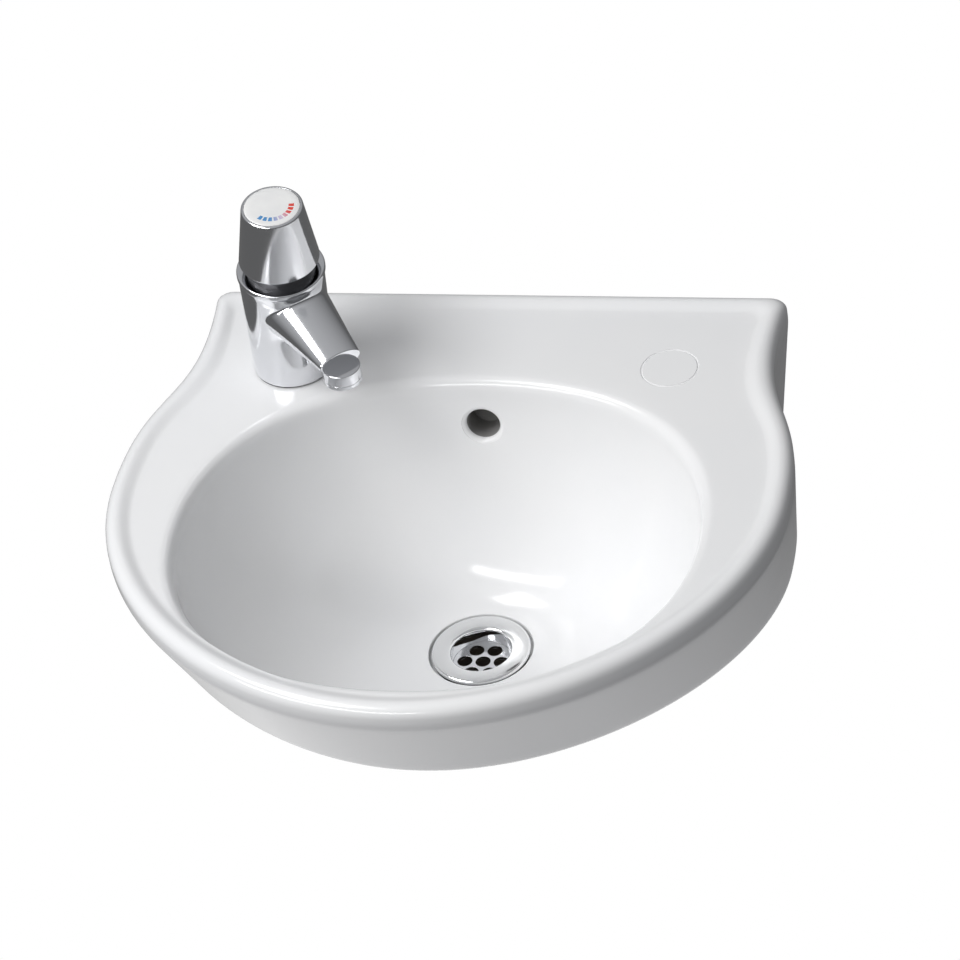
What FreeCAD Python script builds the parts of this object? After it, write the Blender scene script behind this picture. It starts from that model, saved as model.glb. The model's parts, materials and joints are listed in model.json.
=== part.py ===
"""Finger rinse basin: a wall-hung ceramic basin with a self-closing mixer tap and a slotted waste.

Millimetres, +Z up. The origin is on the wall, midway between the two wall-fixing holes.
+X runs along the wall to the user's right and +Y points into the wall, so the bowl reaches towards -Y.
"""

import FreeCAD, Part

import math
import os

# Basin casting
BASIN_WIDTH = 400.0
BASIN_DEPTH = 370.0
WIDEST_FROM_WALL = 181.0
BACK_CORNER_RADIUS = 8.0
BACK_FLARE = 4.0
BACK_LEAN = 5.0
BACK_TRIM = 0.2
NECK_REACH = 96.0
FLARE_REACH = 90.0
FRONT_FULLNESS = 0.52
WALL = 9.0
DECK_THICKNESS = 15.0
BORDER = 7.5
DISH_SLOPE = 8.5
DISH_DEPTH = 2.5
RIM_RADIUS = 7.0
BOWL_EDGE_RADIUS = 7.0
SKIRT_DEPTH = 90.0
SKIRT_EDGE_RADIUS = 8.0
SKIRT_STRAIGHT = 14.0
BACK_PANEL_DEPTH = 118.0
BACK_PANEL_FOOT = 42.0
SKIRT_SWEEP = 105.0
BACK_TAPER = 15.0
SIDE_TAPER = 15.0
FRONT_TAPER = 62.0
WIDEST_DRIFT = 44.0
FULLNESS_LOSS = 0.03
SOLID_FRONT = 300.0

# Bowl
SIDE_RIM = 47.5
FRONT_RIM = 24.0
BOWL_BACK_EDGE = 82.0
BOWL_FULLNESS = 0.62
BOWL_DEPTH = 138.0
BOWL_CURVE = 1.8
FLOOR_MARGIN = 1.0
BOWL_STEPS = (0.0, 0.12, 0.28, 0.46, 0.64, 0.8, 0.91, 0.97, 1.0)
CIRCLE_FULLNESS = 0.5523
WASTE_FROM_WALL = 166.0

# Overflow
OVERFLOW_DROP = 34.0
OVERFLOW_DIAMETER = 20.0
CHANNEL_WIDTH = 40.0
CHANNEL_GAP = 9.0
CHANNEL_WALL = 8.0

# Spare tap hole, left unpunched
SPARE_WEB = 5.0
SPARE_GROOVE_WIDTH = 1.6
SPARE_GROOVE_DEPTH = 0.5

# Wall fixing
FIXING_SPACING = 200.0
FIXING_DROP = 60.0
FIXING_HOLE = 14.0

# Waste
FLANGE_DIAMETER = 60.0
FLANGE_THICKNESS = 2.6
FLANGE_PROUD = 0.8
SEAT_CLEARANCE = 1.2
WASTE_TAIL_DIAMETER = 42.0
WASTE_BORE = 36.0
WASTE_THROAT = 34.0
WASTE_HOLE = 46.0
WASTE_LENGTH = 64.0
THREAD_RELIEF_WIDTH = 2.0
THREAD_RELIEF_DEPTH = 0.8
WASTE_BOSS = 70.0
WASTE_CLAMP = 30.0
SLOT_WIDTH = 10.0
SLOT_LENGTH = 15.0
GRID_DROP = 10.4
GRID_THICKNESS = 2.0
GRID_HOLE = 9.0
GRID_PITCH_RADIUS = 11.0
GRID_RING_HOLES = 6
SEAL_THICKNESS = 2.0
SEAL_INSET = 1.0
SEAL_BEVEL = 2.0
LOWER_SEAL_THICKNESS = 5.0
SLIP_WASHER_THICKNESS = 1.5
BACKNUT_HEIGHT = 12.0
BACKNUT_FLATS = 56.0
BACKNUT_CORNER = 2.0
THREAD_CLEARANCE = 0.1

# Tap body, measured from the deck along its raked axis
TAP_SIDE = 113.0
TAP_FROM_EDGE = 56.5
TAP_FROM_WALL = 67.0
TAP_HOLE = 35.0
TAP_TURN = 40.0
TAP_RAKE = 5.0
BASE_DIAMETER = 48.0
BODY_TOP_DIAMETER = 51.0
BEAD_STEP = 0.7
BEAD_HEIGHT = 3.0
BASE_GASKET = 1.5
SPIGOT_DIAMETER = 33.0
SPIGOT_DEPTH = 10.0

# Spout and aerator
SPOUT_REACH = 71.0
SPOUT_ROOT_HALF_WIDTH = 23.5
SPOUT_ROOT_TOP = 77.0
SPOUT_ROOT_BOTTOM = 36.0
SPOUT_TIP_HALF_WIDTH = 13.3
SPOUT_TIP_HEIGHT = 11.5
SPOUT_TIP_BOTTOM = 41.5
OUTLET_HEIGHT = 33.5
AERATOR_DIAMETER = 22.4
AERATOR_SHOWING = 3.0
AERATOR_THREAD = 19.0
AERATOR_THREAD_LENGTH = 4.5
AERATOR_BORE = 16.0
AERATOR_LIP = 1.0
AERATOR_WASHER = 1.2
AERATOR_INSERT = 5.0
AERATOR_HOLE = 1.8
AERATOR_HOLE_PITCH = 2.9
NOSE_WALL = 1.7
WATERWAY = 8.0
WATERWAY_RISE = 5.0
WATERWAY_FLOOR = 1.0

# Cartridge inside the tap body
BORE_DIAMETER = 36.0
BORE_FLOOR = 32.0
CARTRIDGE_CLEARANCE = 0.15
MOVING_CLEARANCE = 0.3
RUNNING_CLEARANCE = 0.06
FIXED_DISC = 5.0
MIXING_DISC = 4.0
SLEEVE_WALL = 3.4
SLEEVE_HEADROOM = 3.0
DRIVER_PLATE = 4.0
DRIVER_BOSS_WALL = 3.4
DRIVER_BOSS = 5.5
DRIVE_PIN = 3.0
DRIVE_PIN_DEPTH = 2.0
ROD_DIAMETER = 10.0
HEX_FLATS = 8.0
HEX_ENGAGED = 4.0
PISTON_HEIGHT = 5.0
PISTON_GROOVE = 2.0
PISTON_GROOVE_DEPTH = 1.5
PORT_DIAMETER = 8.0
PORT_SPACING = 18.0
PORT_SEAL_SECTION = 1.5
KIDNEY_WIDTH = 4.5
SPRING_WIRE = 1.4
SPRING_CLEARANCE = 1.2
SPRING_TURNS = 4
COLLAR_THREAD = 11.5
NECK_LAP = 1.5
NECK_CLEARANCE = 0.6
ROD_SEAL_HEIGHT = 2.0
ROD_SEAL_WIDTH = 2.0

# Push knob
PRESS_TRAVEL = 6.0
END_CLEARANCE = 1.5
KNOB_HEIGHT = 40.0
KNOB_BOTTOM_DIAMETER = 47.6
KNOB_TOP_DIAMETER = 36.4
KNOB_EASING = 1.0
KNOB_WALL = 2.0
KNOB_WEB = 4.0
KNOB_HUB_WALL = 3.0
KNOB_HUB_LENGTH = 18.0
CAP_DIAMETER = 33.0
CAP_THICKNESS = 3.0
CAP_RECESS = 2.5
CAP_EASING = 0.6
SCREW_DIAMETER = 4.0
SCREW_HEAD_DIAMETER = 7.2
SCREW_HEAD = 2.4
SCREW_LENGTH = 10.0
SCREW_SOCKET = 3.0

# Tap fixing below the deck
INLET_THREAD = 9.0
INLET_THREAD_LENGTH = 13.0
FILTER_THICKNESS = 3.0
STUD_DIAMETER = 8.0
STUD_OFFSET = 11.5
STUD_ENGAGED = 12.0
STUD_LENGTH = 62.0
PLATE_DIAMETER = 46.0
PLATE_THICKNESS = 2.5
RUBBER_THICKNESS = 4.0
PLATE_WEB = 2.0
NUT_FLATS = 13.0
NUT_HEIGHT = 6.5

# Widths that follow from the sizes above
BACK_WIDTH = 2 * (TAP_SIDE + TAP_FROM_EDGE)
BOWL_WIDTH = BASIN_WIDTH - 2 * SIDE_RIM
BOWL_LENGTH = BASIN_DEPTH - BOWL_BACK_EDGE - FRONT_RIM

# Levels that follow from the sizes above
RIM_Z = FIXING_DROP
DECK_Z = RIM_Z - DISH_DEPTH
DECK_UNDER_Z = RIM_Z - DECK_THICKNESS
STRAIGHT_Z = RIM_Z - SKIRT_STRAIGHT
SKIRT_Z = RIM_Z - SKIRT_DEPTH
BACK_Z = RIM_Z - BACK_PANEL_DEPTH
FLOOR_Z = RIM_Z - BOWL_DEPTH
SEAT_Z = FLOOR_Z + FLANGE_PROUD - FLANGE_THICKNESS - SEAL_THICKNESS
BOSS_Z = SEAT_Z - WASTE_CLAMP
FLANGE_TOP_Z = FLOOR_Z + FLANGE_PROUD
GRID_TOP_Z = FLANGE_TOP_Z - GRID_DROP
FLOOR_RADIUS = FLANGE_DIAMETER / 2 + SEAT_CLEARANCE + FLOOR_MARGIN
WASHER_TOP_Z = BOSS_Z - LOWER_SEAL_THICKNESS
NUT_TOP_Z = WASHER_TOP_Z - SLIP_WASHER_THICKNESS
NUT_BOTTOM_Z = NUT_TOP_Z - BACKNUT_HEIGHT
BOWL_CENTRE = BOWL_BACK_EDGE + BOWL_LENGTH / 2

# Levels along the tap's raked axis, and radii that follow
FIXED_TOP = BORE_FLOOR + FIXED_DISC
MIXING_TOP = FIXED_TOP + MIXING_DISC
PLATE_TOP = MIXING_TOP + DRIVER_PLATE
DRIVER_TOP = PLATE_TOP + DRIVER_BOSS
PISTON_BOTTOM = DRIVER_TOP + PRESS_TRAVEL + END_CLEARANCE
PISTON_TOP = PISTON_BOTTOM + PISTON_HEIGHT
SLEEVE_TOP = PISTON_TOP + SLEEVE_HEADROOM
BODY_HEIGHT = SLEEVE_TOP + COLLAR_THREAD
KNOB_BOTTOM = BODY_HEIGHT + PRESS_TRAVEL + END_CLEARANCE
KNOB_TOP = KNOB_BOTTOM + KNOB_HEIGHT
WEB_TOP = KNOB_TOP - CAP_RECESS
WEB_BOTTOM = WEB_TOP - KNOB_WEB
NECK_TOP = KNOB_BOTTOM + NECK_LAP
SLEEVE_RADIUS = BORE_DIAMETER / 2 - CARTRIDGE_CLEARANCE
CHAMBER_RADIUS = SLEEVE_RADIUS - SLEEVE_WALL
HEX_CORNER = HEX_FLATS / math.sqrt(3)
DRIVER_BOSS_RADIUS = HEX_CORNER + DRIVER_BOSS_WALL
SPRING_RADIUS = DRIVER_BOSS_RADIUS + SPRING_CLEARANCE + SPRING_WIRE / 2
NOSE_BOTTOM = OUTLET_HEIGHT + AERATOR_SHOWING
NOSE_RADIUS = AERATOR_THREAD / 2 + NOSE_WALL
AERATOR_CHAMBER_TOP = NOSE_BOTTOM + AERATOR_THREAD_LENGTH + AERATOR_WASHER
SPOUT_TIP_TOP = SPOUT_TIP_BOTTOM + SPOUT_TIP_HEIGHT
DECK_BELOW = DISH_DEPTH - DECK_THICKNESS

UP = FreeCAD.Vector(0, 0, 1)
ACROSS = FreeCAD.Vector(1, 0, 0)
ORIGIN = FreeCAD.Vector(0, 0, 0)
OVERSHOOT = 5.0
PAST = 1.0
NEAR = 0.05


def plan_point(x, from_wall, z):
    """Return the point at x along the wall and from_wall out from it."""
    return FreeCAD.Vector(x, -from_wall, z)


def bezier(points):
    """Return one Bezier edge through its control points."""
    curve = Part.BezierCurve()
    curve.setPoles(points)
    return curve.toShape()


def cylinder(radius, bottom, top, x=0.0, y=0.0):
    """Return an upright cylinder between two levels."""
    return Part.makeCylinder(radius, top - bottom, FreeCAD.Vector(x, y, bottom), UP)


def ring(outer, inner, bottom, top, x=0.0, y=0.0):
    """Return an upright ring between two levels."""
    return cylinder(outer, bottom, top, x, y).cut(cylinder(inner, bottom - PAST, top + PAST, x, y))


def hexagon(flats, bottom, top, x=0.0, y=0.0):
    """Return an upright hexagonal bar, measured across its flats."""
    corner = flats / math.sqrt(3)
    points = []
    for step in range(7):
        angle = math.radians(60 * step)
        points.append(FreeCAD.Vector(x + corner * math.cos(angle), y + corner * math.sin(angle), bottom))
    return Part.Face(Part.makePolygon(points)).extrude(UP * (top - bottom))


def turned(points):
    """Return the solid turned about the Z axis from (radius, height) points."""
    corners = [FreeCAD.Vector(radius, 0, height) for radius, height in points]
    profile = Part.Face(Part.makePolygon(corners + corners[:1]))
    return profile.revolve(ORIGIN, UP, 360)


def basin_outline(inset, back, z):
    """Return the basin's plan outline at z, drawn in by inset, with its straight side at back from the wall.

    Below STRAIGHT_Z the walls draft inward, by the three tapers at the level of the back panel's foot. The widest
    place moves toward the wall there, and the front's curve gets slimmer.
    """
    corner = BACK_CORNER_RADIUS
    draft = max(0.0, STRAIGHT_Z - z) / (STRAIGHT_Z - BACK_Z)
    half_back = BACK_WIDTH / 2 - inset - BACK_TAPER * draft
    half = BASIN_WIDTH / 2 - inset - SIDE_TAPER * draft
    front = BASIN_DEPTH - inset - FRONT_TAPER * draft
    widest = WIDEST_FROM_WALL - WIDEST_DRIFT * draft
    fullness = FRONT_FULLNESS - FULLNESS_LOSS * draft
    middle = half_back + BACK_FLARE - corner
    lean = math.radians(BACK_LEAN)

    def on_corner(angle):
        return middle + corner * math.cos(angle), back + corner + corner * math.sin(angle)

    halfway = on_corner((lean - math.pi / 2) / 2)
    neck = on_corner(lean)
    neck_pull = (neck[0] - NECK_REACH * math.sin(lean), neck[1] + NECK_REACH * math.cos(lean))
    edges = [Part.makeLine(plan_point(-middle, back, z), plan_point(middle, back, z))]
    right = [
        Part.Arc(plan_point(middle, back, z), plan_point(*halfway, z), plan_point(*neck, z)).toShape(),
        bezier([
            plan_point(*neck, z),
            plan_point(*neck_pull, z),
            plan_point(half, widest - FLARE_REACH, z),
            plan_point(half, widest, z),
        ]),
        bezier([
            plan_point(half, widest, z),
            plan_point(half, widest + fullness * (front - widest), z),
            plan_point(fullness * half, front, z),
            plan_point(0, front, z),
        ]),
    ]
    left = [edge.mirror(ORIGIN, ACROSS) for edge in reversed(right)]
    return Part.Wire(edges + right + left)


def bowl_share(depth_share):
    """Return how much of the bowl's rim size is left at a share of its depth."""
    return (1 - depth_share ** BOWL_CURVE) ** (1 / BOWL_CURVE)


def bowl_size(depth_share):
    """Return the bowl's centre from the wall, half width and half length at a share of its depth."""
    share = bowl_share(depth_share)
    centre = WASTE_FROM_WALL + (BOWL_CENTRE - WASTE_FROM_WALL) * share
    half_width = FLOOR_RADIUS + (BOWL_WIDTH / 2 - FLOOR_RADIUS) * share
    half_length = FLOOR_RADIUS + (BOWL_LENGTH / 2 - FLOOR_RADIUS) * share
    return centre, half_width, half_length


def bowl_level(depth_share):
    """Return the height of the bowl's surface at a share of its depth."""
    return DECK_Z - (DECK_Z - FLOOR_Z) * depth_share


def bowl_section(depth_share, grow, z):
    """Return the bowl's closed oval at a share of its depth, grown by grow."""
    centre, half_width, half_length = bowl_size(depth_share)
    half_width += grow
    half_length += grow
    full = CIRCLE_FULLNESS + (BOWL_FULLNESS - CIRCLE_FULLNESS) * bowl_share(depth_share)
    edges = []
    for side, end in ((1, 1), (-1, 1), (-1, -1), (1, -1)):
        corners = [
            plan_point(side * half_width, centre, z),
            plan_point(side * half_width, centre + end * full * half_length, z),
            plan_point(side * full * half_width, centre + end * half_length, z),
            plan_point(0, centre + end * half_length, z),
        ]
        if side * end < 0:
            corners.reverse()
        edges.append(bezier(corners))
    return Part.Wire(edges)


def bowl_hollow():
    """Return the space inside the bowl, from above the deck to its floor."""
    sections = [bowl_section(step, 0.0, bowl_level(step)) for step in BOWL_STEPS]
    lead_in = Part.Face(sections[0]).extrude(UP * (DISH_DEPTH + OVERSHOOT))
    return Part.makeLoft(sections, True, False).fuse(lead_in)


def bowl_outside():
    """Return the solid inside the bowl's outer skin, one wall larger than the hollow."""
    start = DECK_Z - DISH_DEPTH
    drop = start - FLOOR_Z + WALL
    sections = [bowl_section(step, WALL, start - drop * step) for step in BOWL_STEPS]
    return Part.makeLoft(sections, True, False)


def casting_block(inset, back, top):
    """Return the tapered block inside the casting's outer walls, drawn in by inset."""
    levels = [top, BACK_Z - inset]
    if top > STRAIGHT_Z:
        levels.insert(1, STRAIGHT_Z)
    return Part.makeLoft([basin_outline(inset, back, level) for level in levels], True, True)


def skirt_cut():
    """Return what lies under the skirt's lower edge, which sweeps down to the back panel's foot."""
    below = BACK_Z - WALL - OVERSHOOT
    beyond = BASIN_DEPTH + OVERSHOOT
    mid = BACK_PANEL_FOOT + SKIRT_SWEEP / 2
    end = BACK_PANEL_FOOT + SKIRT_SWEEP
    x = -BASIN_WIDTH / 2 - OVERSHOOT
    sweep = bezier([
        plan_point(x, BACK_PANEL_FOOT, BACK_Z),
        plan_point(x, mid, BACK_Z),
        plan_point(x, mid, SKIRT_Z),
        plan_point(x, end, SKIRT_Z),
    ])
    rest = Part.makePolygon([
        plan_point(x, end, SKIRT_Z),
        plan_point(x, beyond, SKIRT_Z),
        plan_point(x, beyond, below),
        plan_point(x, -OVERSHOOT, below),
        plan_point(x, -OVERSHOOT, BACK_Z),
        plan_point(x, BACK_PANEL_FOOT, BACK_Z),
    ])
    return Part.Face(Part.Wire([sweep] + rest.Edges)).extrude(ACROSS * (BASIN_WIDTH + 2 * OVERSHOOT))


def channel_line(offset, steps):
    """Return points behind the bowl's back wall at x = 0, offset out from its surface."""
    points = []
    for step in steps:
        centre, _, half_length = bowl_size(step)
        points.append((centre - half_length - offset, bowl_level(step) - offset * step))
    return points


def channel_block(inner, outer, width, top_step):
    """Return the strip between two offsets behind the bowl, from top_step down to the waste hole."""
    steps = [top_step] + [step for step in BOWL_STEPS if step > top_step]
    near = channel_line(inner, steps)
    far = channel_line(outer, steps)
    x = -width / 2
    near_curve = Part.BSplineCurve()
    near_curve.interpolate([plan_point(x, place, z) for place, z in near])
    far_curve = Part.BSplineCurve()
    far_curve.interpolate([plan_point(x, place, z) for place, z in far])
    foot = [
        plan_point(x, *near[-1]),
        plan_point(x, WASTE_FROM_WALL, near[-1][1]),
        plan_point(x, WASTE_FROM_WALL, far[-1][1]),
        plan_point(x, *far[-1]),
    ]
    head = Part.makeLine(plan_point(x, *far[0]), plan_point(x, *near[0]))
    edges = [near_curve.toShape()] + Part.makePolygon(foot).Edges + [far_curve.toShape(), head]
    return Part.Face(Part.Wire(Part.sortEdges(edges)[0])).extrude(ACROSS * width)


def edges_at_level(shape, level, keep):
    """Return the level edges of shape at a height whose middle point passes keep."""
    found = []
    for edge in shape.Edges:
        box = edge.BoundBox
        if abs(box.ZMin - level) > NEAR or abs(box.ZMax - level) > NEAR:
            continue
        middle = edge.valueAt((edge.FirstParameter + edge.LastParameter) / 2)
        if keep(middle):
            found.append(edge)
    return found


def skirt_edges(shape):
    """Return the lower outer edges of the skirt, from the back panel's foot round the front."""
    found = []
    for edge in shape.Edges:
        middle = edge.valueAt((edge.FirstParameter + edge.LastParameter) / 2)
        low = middle.z < SKIRT_Z + NEAR
        if low and abs(middle.x) > BACK_WIDTH / 4 and middle.y < -BACK_CORNER_RADIUS:
            found.append(edge)
    return found


def basin_casting():
    """Return the ceramic casting with its bowl, deck, skirt, overflow channel and holes."""
    block = casting_block(0.0, -BACK_TRIM, RIM_Z)
    block = block.makeFillet(RIM_RADIUS, edges_at_level(block, RIM_Z, lambda point: True))
    reach = 2 * (BASIN_WIDTH + BASIN_DEPTH + BACK_PANEL_DEPTH)
    behind = Part.makeBox(reach, reach, reach, FreeCAD.Vector(-reach / 2, 0, -reach / 2))
    block = block.cut([behind, skirt_cut()])
    block = block.makeFillet(SKIRT_EDGE_RADIUS, skirt_edges(block))
    slope = DISH_SLOPE / DISH_DEPTH
    dish = Part.makeLoft([
        basin_outline(BORDER - slope, BORDER - slope, RIM_Z + PAST),
        basin_outline(BORDER + DISH_SLOPE, BORDER + DISH_SLOPE, DECK_Z),
    ], True, True)
    hollow = Part.makeBox(reach, SOLID_FRONT, reach, FreeCAD.Vector(-reach / 2, -SOLID_FRONT, -reach / 2))
    cavity = casting_block(WALL, WALL, DECK_UNDER_Z).common(hollow)
    shell = block.cut([dish, cavity])
    boss = cylinder(WASTE_BOSS / 2, BOSS_Z, FLOOR_Z, 0, -WASTE_FROM_WALL)
    casing_depth = WALL + CHANNEL_GAP + CHANNEL_WALL
    casing = channel_block(0.0, casing_depth, CHANNEL_WIDTH + 2 * CHANNEL_WALL, BOWL_STEPS[1])
    shell = shell.fuse([bowl_outside(), boss, casing])
    overflow_z = RIM_Z - OVERFLOW_DROP
    overflow_step = (DECK_Z - overflow_z - OVERFLOW_DIAMETER) / (DECK_Z - FLOOR_Z)
    channel = channel_block(WALL, WALL + CHANNEL_GAP, CHANNEL_WIDTH, overflow_step)
    centre, _, half_length = bowl_size((DECK_Z - overflow_z) / (DECK_Z - FLOOR_Z))
    overflow = Part.makeCylinder(
        OVERFLOW_DIAMETER / 2,
        WALL + CHANNEL_GAP / 2 + OVERFLOW_DIAMETER,
        plan_point(0, centre - half_length + OVERFLOW_DIAMETER, overflow_z),
        FreeCAD.Vector(0, 1, 0),
    )
    waste_hole = cylinder(WASTE_HOLE / 2, BOSS_Z - PAST, FLOOR_Z + PAST, 0, -WASTE_FROM_WALL)
    seat = cylinder(FLANGE_DIAMETER / 2 + SEAT_CLEARANCE, SEAT_Z, FLOOR_Z + PAST, 0, -WASTE_FROM_WALL)
    tap_hole = cylinder(TAP_HOLE / 2, DECK_UNDER_Z - PAST, RIM_Z, -TAP_SIDE, -TAP_FROM_WALL)
    spare = cylinder(TAP_HOLE / 2, DECK_UNDER_Z - PAST, DECK_Z - SPARE_WEB, TAP_SIDE, -TAP_FROM_WALL)
    groove = ring(
        TAP_HOLE / 2,
        TAP_HOLE / 2 - SPARE_GROOVE_WIDTH,
        DECK_Z - SPARE_GROOVE_DEPTH,
        RIM_Z,
        TAP_SIDE,
        -TAP_FROM_WALL,
    )
    fixings = [
        Part.makeCylinder(
            FIXING_HOLE / 2,
            WALL + 2 * OVERSHOOT,
            FreeCAD.Vector(side * FIXING_SPACING / 2, OVERSHOOT, 0),
            FreeCAD.Vector(0, -1, 0),
        )
        for side in (-1, 1)
    ]
    holes = [channel, overflow, waste_hole, seat, tap_hole, spare, groove] + fixings
    shell = shell.cut([bowl_hollow()] + holes)
    bowl_edge = bowl_section(0.0, 0.0, DECK_Z)

    def on_bowl_edge(point):
        return Part.Vertex(point).distToShape(bowl_edge)[0] < NEAR

    return shell.makeFillet(BOWL_EDGE_RADIUS, edges_at_level(shell, DECK_Z, on_bowl_edge))


def waste_flange():
    """Return the waste's flange and slotted tail, with a ledge inside for the grid."""
    bottom = FLANGE_TOP_Z - FLANGE_THICKNESS
    foot = bottom - WASTE_LENGTH
    ledge = GRID_TOP_Z - GRID_THICKNESS
    outside = FLANGE_DIAMETER / 2
    bore = WASTE_BORE / 2
    easing = FLANGE_THICKNESS / 2
    tail = WASTE_TAIL_DIAMETER / 2
    relief = tail - THREAD_RELIEF_DEPTH
    relief_bottom = NUT_BOTTOM_Z - THREAD_RELIEF_WIDTH
    shape = turned([
        (bore + easing, FLANGE_TOP_Z),
        (outside - easing, FLANGE_TOP_Z),
        (outside, FLANGE_TOP_Z - easing),
        (outside, bottom),
        (tail, bottom),
        (tail, NUT_BOTTOM_Z),
        (relief, NUT_BOTTOM_Z),
        (relief, relief_bottom),
        (tail, relief_bottom),
        (tail, foot),
        (WASTE_THROAT / 2, foot),
        (WASTE_THROAT / 2, ledge),
        (bore, ledge),
        (bore, FLANGE_TOP_Z - easing),
    ])
    slot_top = ledge - easing
    slot = Part.makeBox(
        SLOT_WIDTH,
        WASTE_TAIL_DIAMETER + 2 * PAST,
        SLOT_LENGTH,
        FreeCAD.Vector(-SLOT_WIDTH / 2, -WASTE_TAIL_DIAMETER / 2 - PAST, slot_top - SLOT_LENGTH),
    )
    return shape.cut(slot)


def strainer_grid():
    """Return the drilled disc that lies on the waste's inner ledge."""
    bottom = GRID_TOP_Z - GRID_THICKNESS
    disc = cylinder(WASTE_BORE / 2 - THREAD_CLEARANCE, bottom, GRID_TOP_Z)
    holes = [cylinder(GRID_HOLE / 2, bottom - PAST, GRID_TOP_Z + PAST)]
    for index in range(GRID_RING_HOLES):
        angle = 2 * math.pi * index / GRID_RING_HOLES
        place = (GRID_PITCH_RADIUS * math.cos(angle), GRID_PITCH_RADIUS * math.sin(angle))
        holes.append(cylinder(GRID_HOLE / 2, bottom - PAST, GRID_TOP_Z + PAST, *place))
    return disc.cut(holes)


def waste_parts():
    """Return the waste's pieces by name, centred on the waste hole."""
    inner = WASTE_TAIL_DIAMETER / 2 + THREAD_CLEARANCE
    seal_outer = WASTE_BOSS / 2 - SEAL_INSET
    lower_seal = turned([
        (inner, BOSS_Z),
        (seal_outer, BOSS_Z),
        (seal_outer, BOSS_Z - LOWER_SEAL_THICKNESS / 2),
        (seal_outer - SEAL_BEVEL, WASHER_TOP_Z),
        (inner, WASHER_TOP_Z),
    ])
    nut = hexagon(BACKNUT_FLATS, NUT_BOTTOM_Z, NUT_TOP_Z)
    nut = nut.common(cylinder(BACKNUT_FLATS / 2 + BACKNUT_CORNER, NUT_BOTTOM_Z, NUT_TOP_Z))
    pieces = {
        "waste_flange": waste_flange(),
        "strainer_grid": strainer_grid(),
        "waste_upper_seal": ring(FLANGE_DIAMETER / 2 - SEAL_INSET, inner, SEAT_Z, SEAT_Z + SEAL_THICKNESS),
        "waste_lower_seal": lower_seal,
        "waste_slip_washer": ring(seal_outer - SEAL_BEVEL, inner, NUT_TOP_Z, WASHER_TOP_Z),
        "waste_backnut": nut.cut(cylinder(inner, NUT_BOTTOM_Z - PAST, NUT_TOP_Z + PAST)),
    }
    for shape in pieces.values():
        shape.translate(plan_point(0, WASTE_FROM_WALL, 0))
    return pieces


def rake(shape):
    """Return shape leaned from upright onto the tap's raked axis, towards the spout."""
    leaned = shape.copy()
    leaned.rotate(ORIGIN, ACROSS, TAP_RAKE)
    return leaned


def place_tap(shape):
    """Return a tap piece turned to its spout's direction and set on the deck."""
    placed = shape.copy()
    placed.rotate(ORIGIN, UP, TAP_TURN)
    placed.translate(FreeCAD.Vector(-TAP_SIDE, -TAP_FROM_WALL, DECK_Z))
    return placed


def spout_section(reach, half_width, bottom, top):
    """Return an oval section of the spout at a reach in front of the tap's centre."""
    middle = FreeCAD.Vector(0, -reach, (bottom + top) / 2)
    wide = middle + FreeCAD.Vector(half_width, 0, 0)
    high = middle + FreeCAD.Vector(0, 0, (top - bottom) / 2)
    if half_width > (top - bottom) / 2:
        oval = Part.Ellipse(wide, high, middle)
    else:
        oval = Part.Ellipse(high, wide, middle)
    return Part.Wire(oval.toShape())


def inlet_places():
    """Return the two inlets' places across the tap, hot and cold."""
    return [-PORT_SPACING / 2, PORT_SPACING / 2]


def waterway():
    """Return the drilled way from the aerator's chamber back to the cartridge."""
    setback = AERATOR_THREAD / 2 - WATERWAY / 2 - AERATOR_LIP
    level = SPOUT_TIP_BOTTOM + WATERWAY_FLOOR + WATERWAY / 2
    mouth = FreeCAD.Vector(0, setback - SPOUT_REACH, level)
    inner_end = FreeCAD.Vector(0, 0, level + WATERWAY_RISE)
    run = inner_end - mouth
    drop = cylinder(WATERWAY / 2 - AERATOR_LIP, AERATOR_CHAMBER_TOP - PAST, level, 0, setback - SPOUT_REACH)
    return Part.makeCylinder(WATERWAY / 2, run.Length, mouth, run).fuse(drop)


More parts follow.
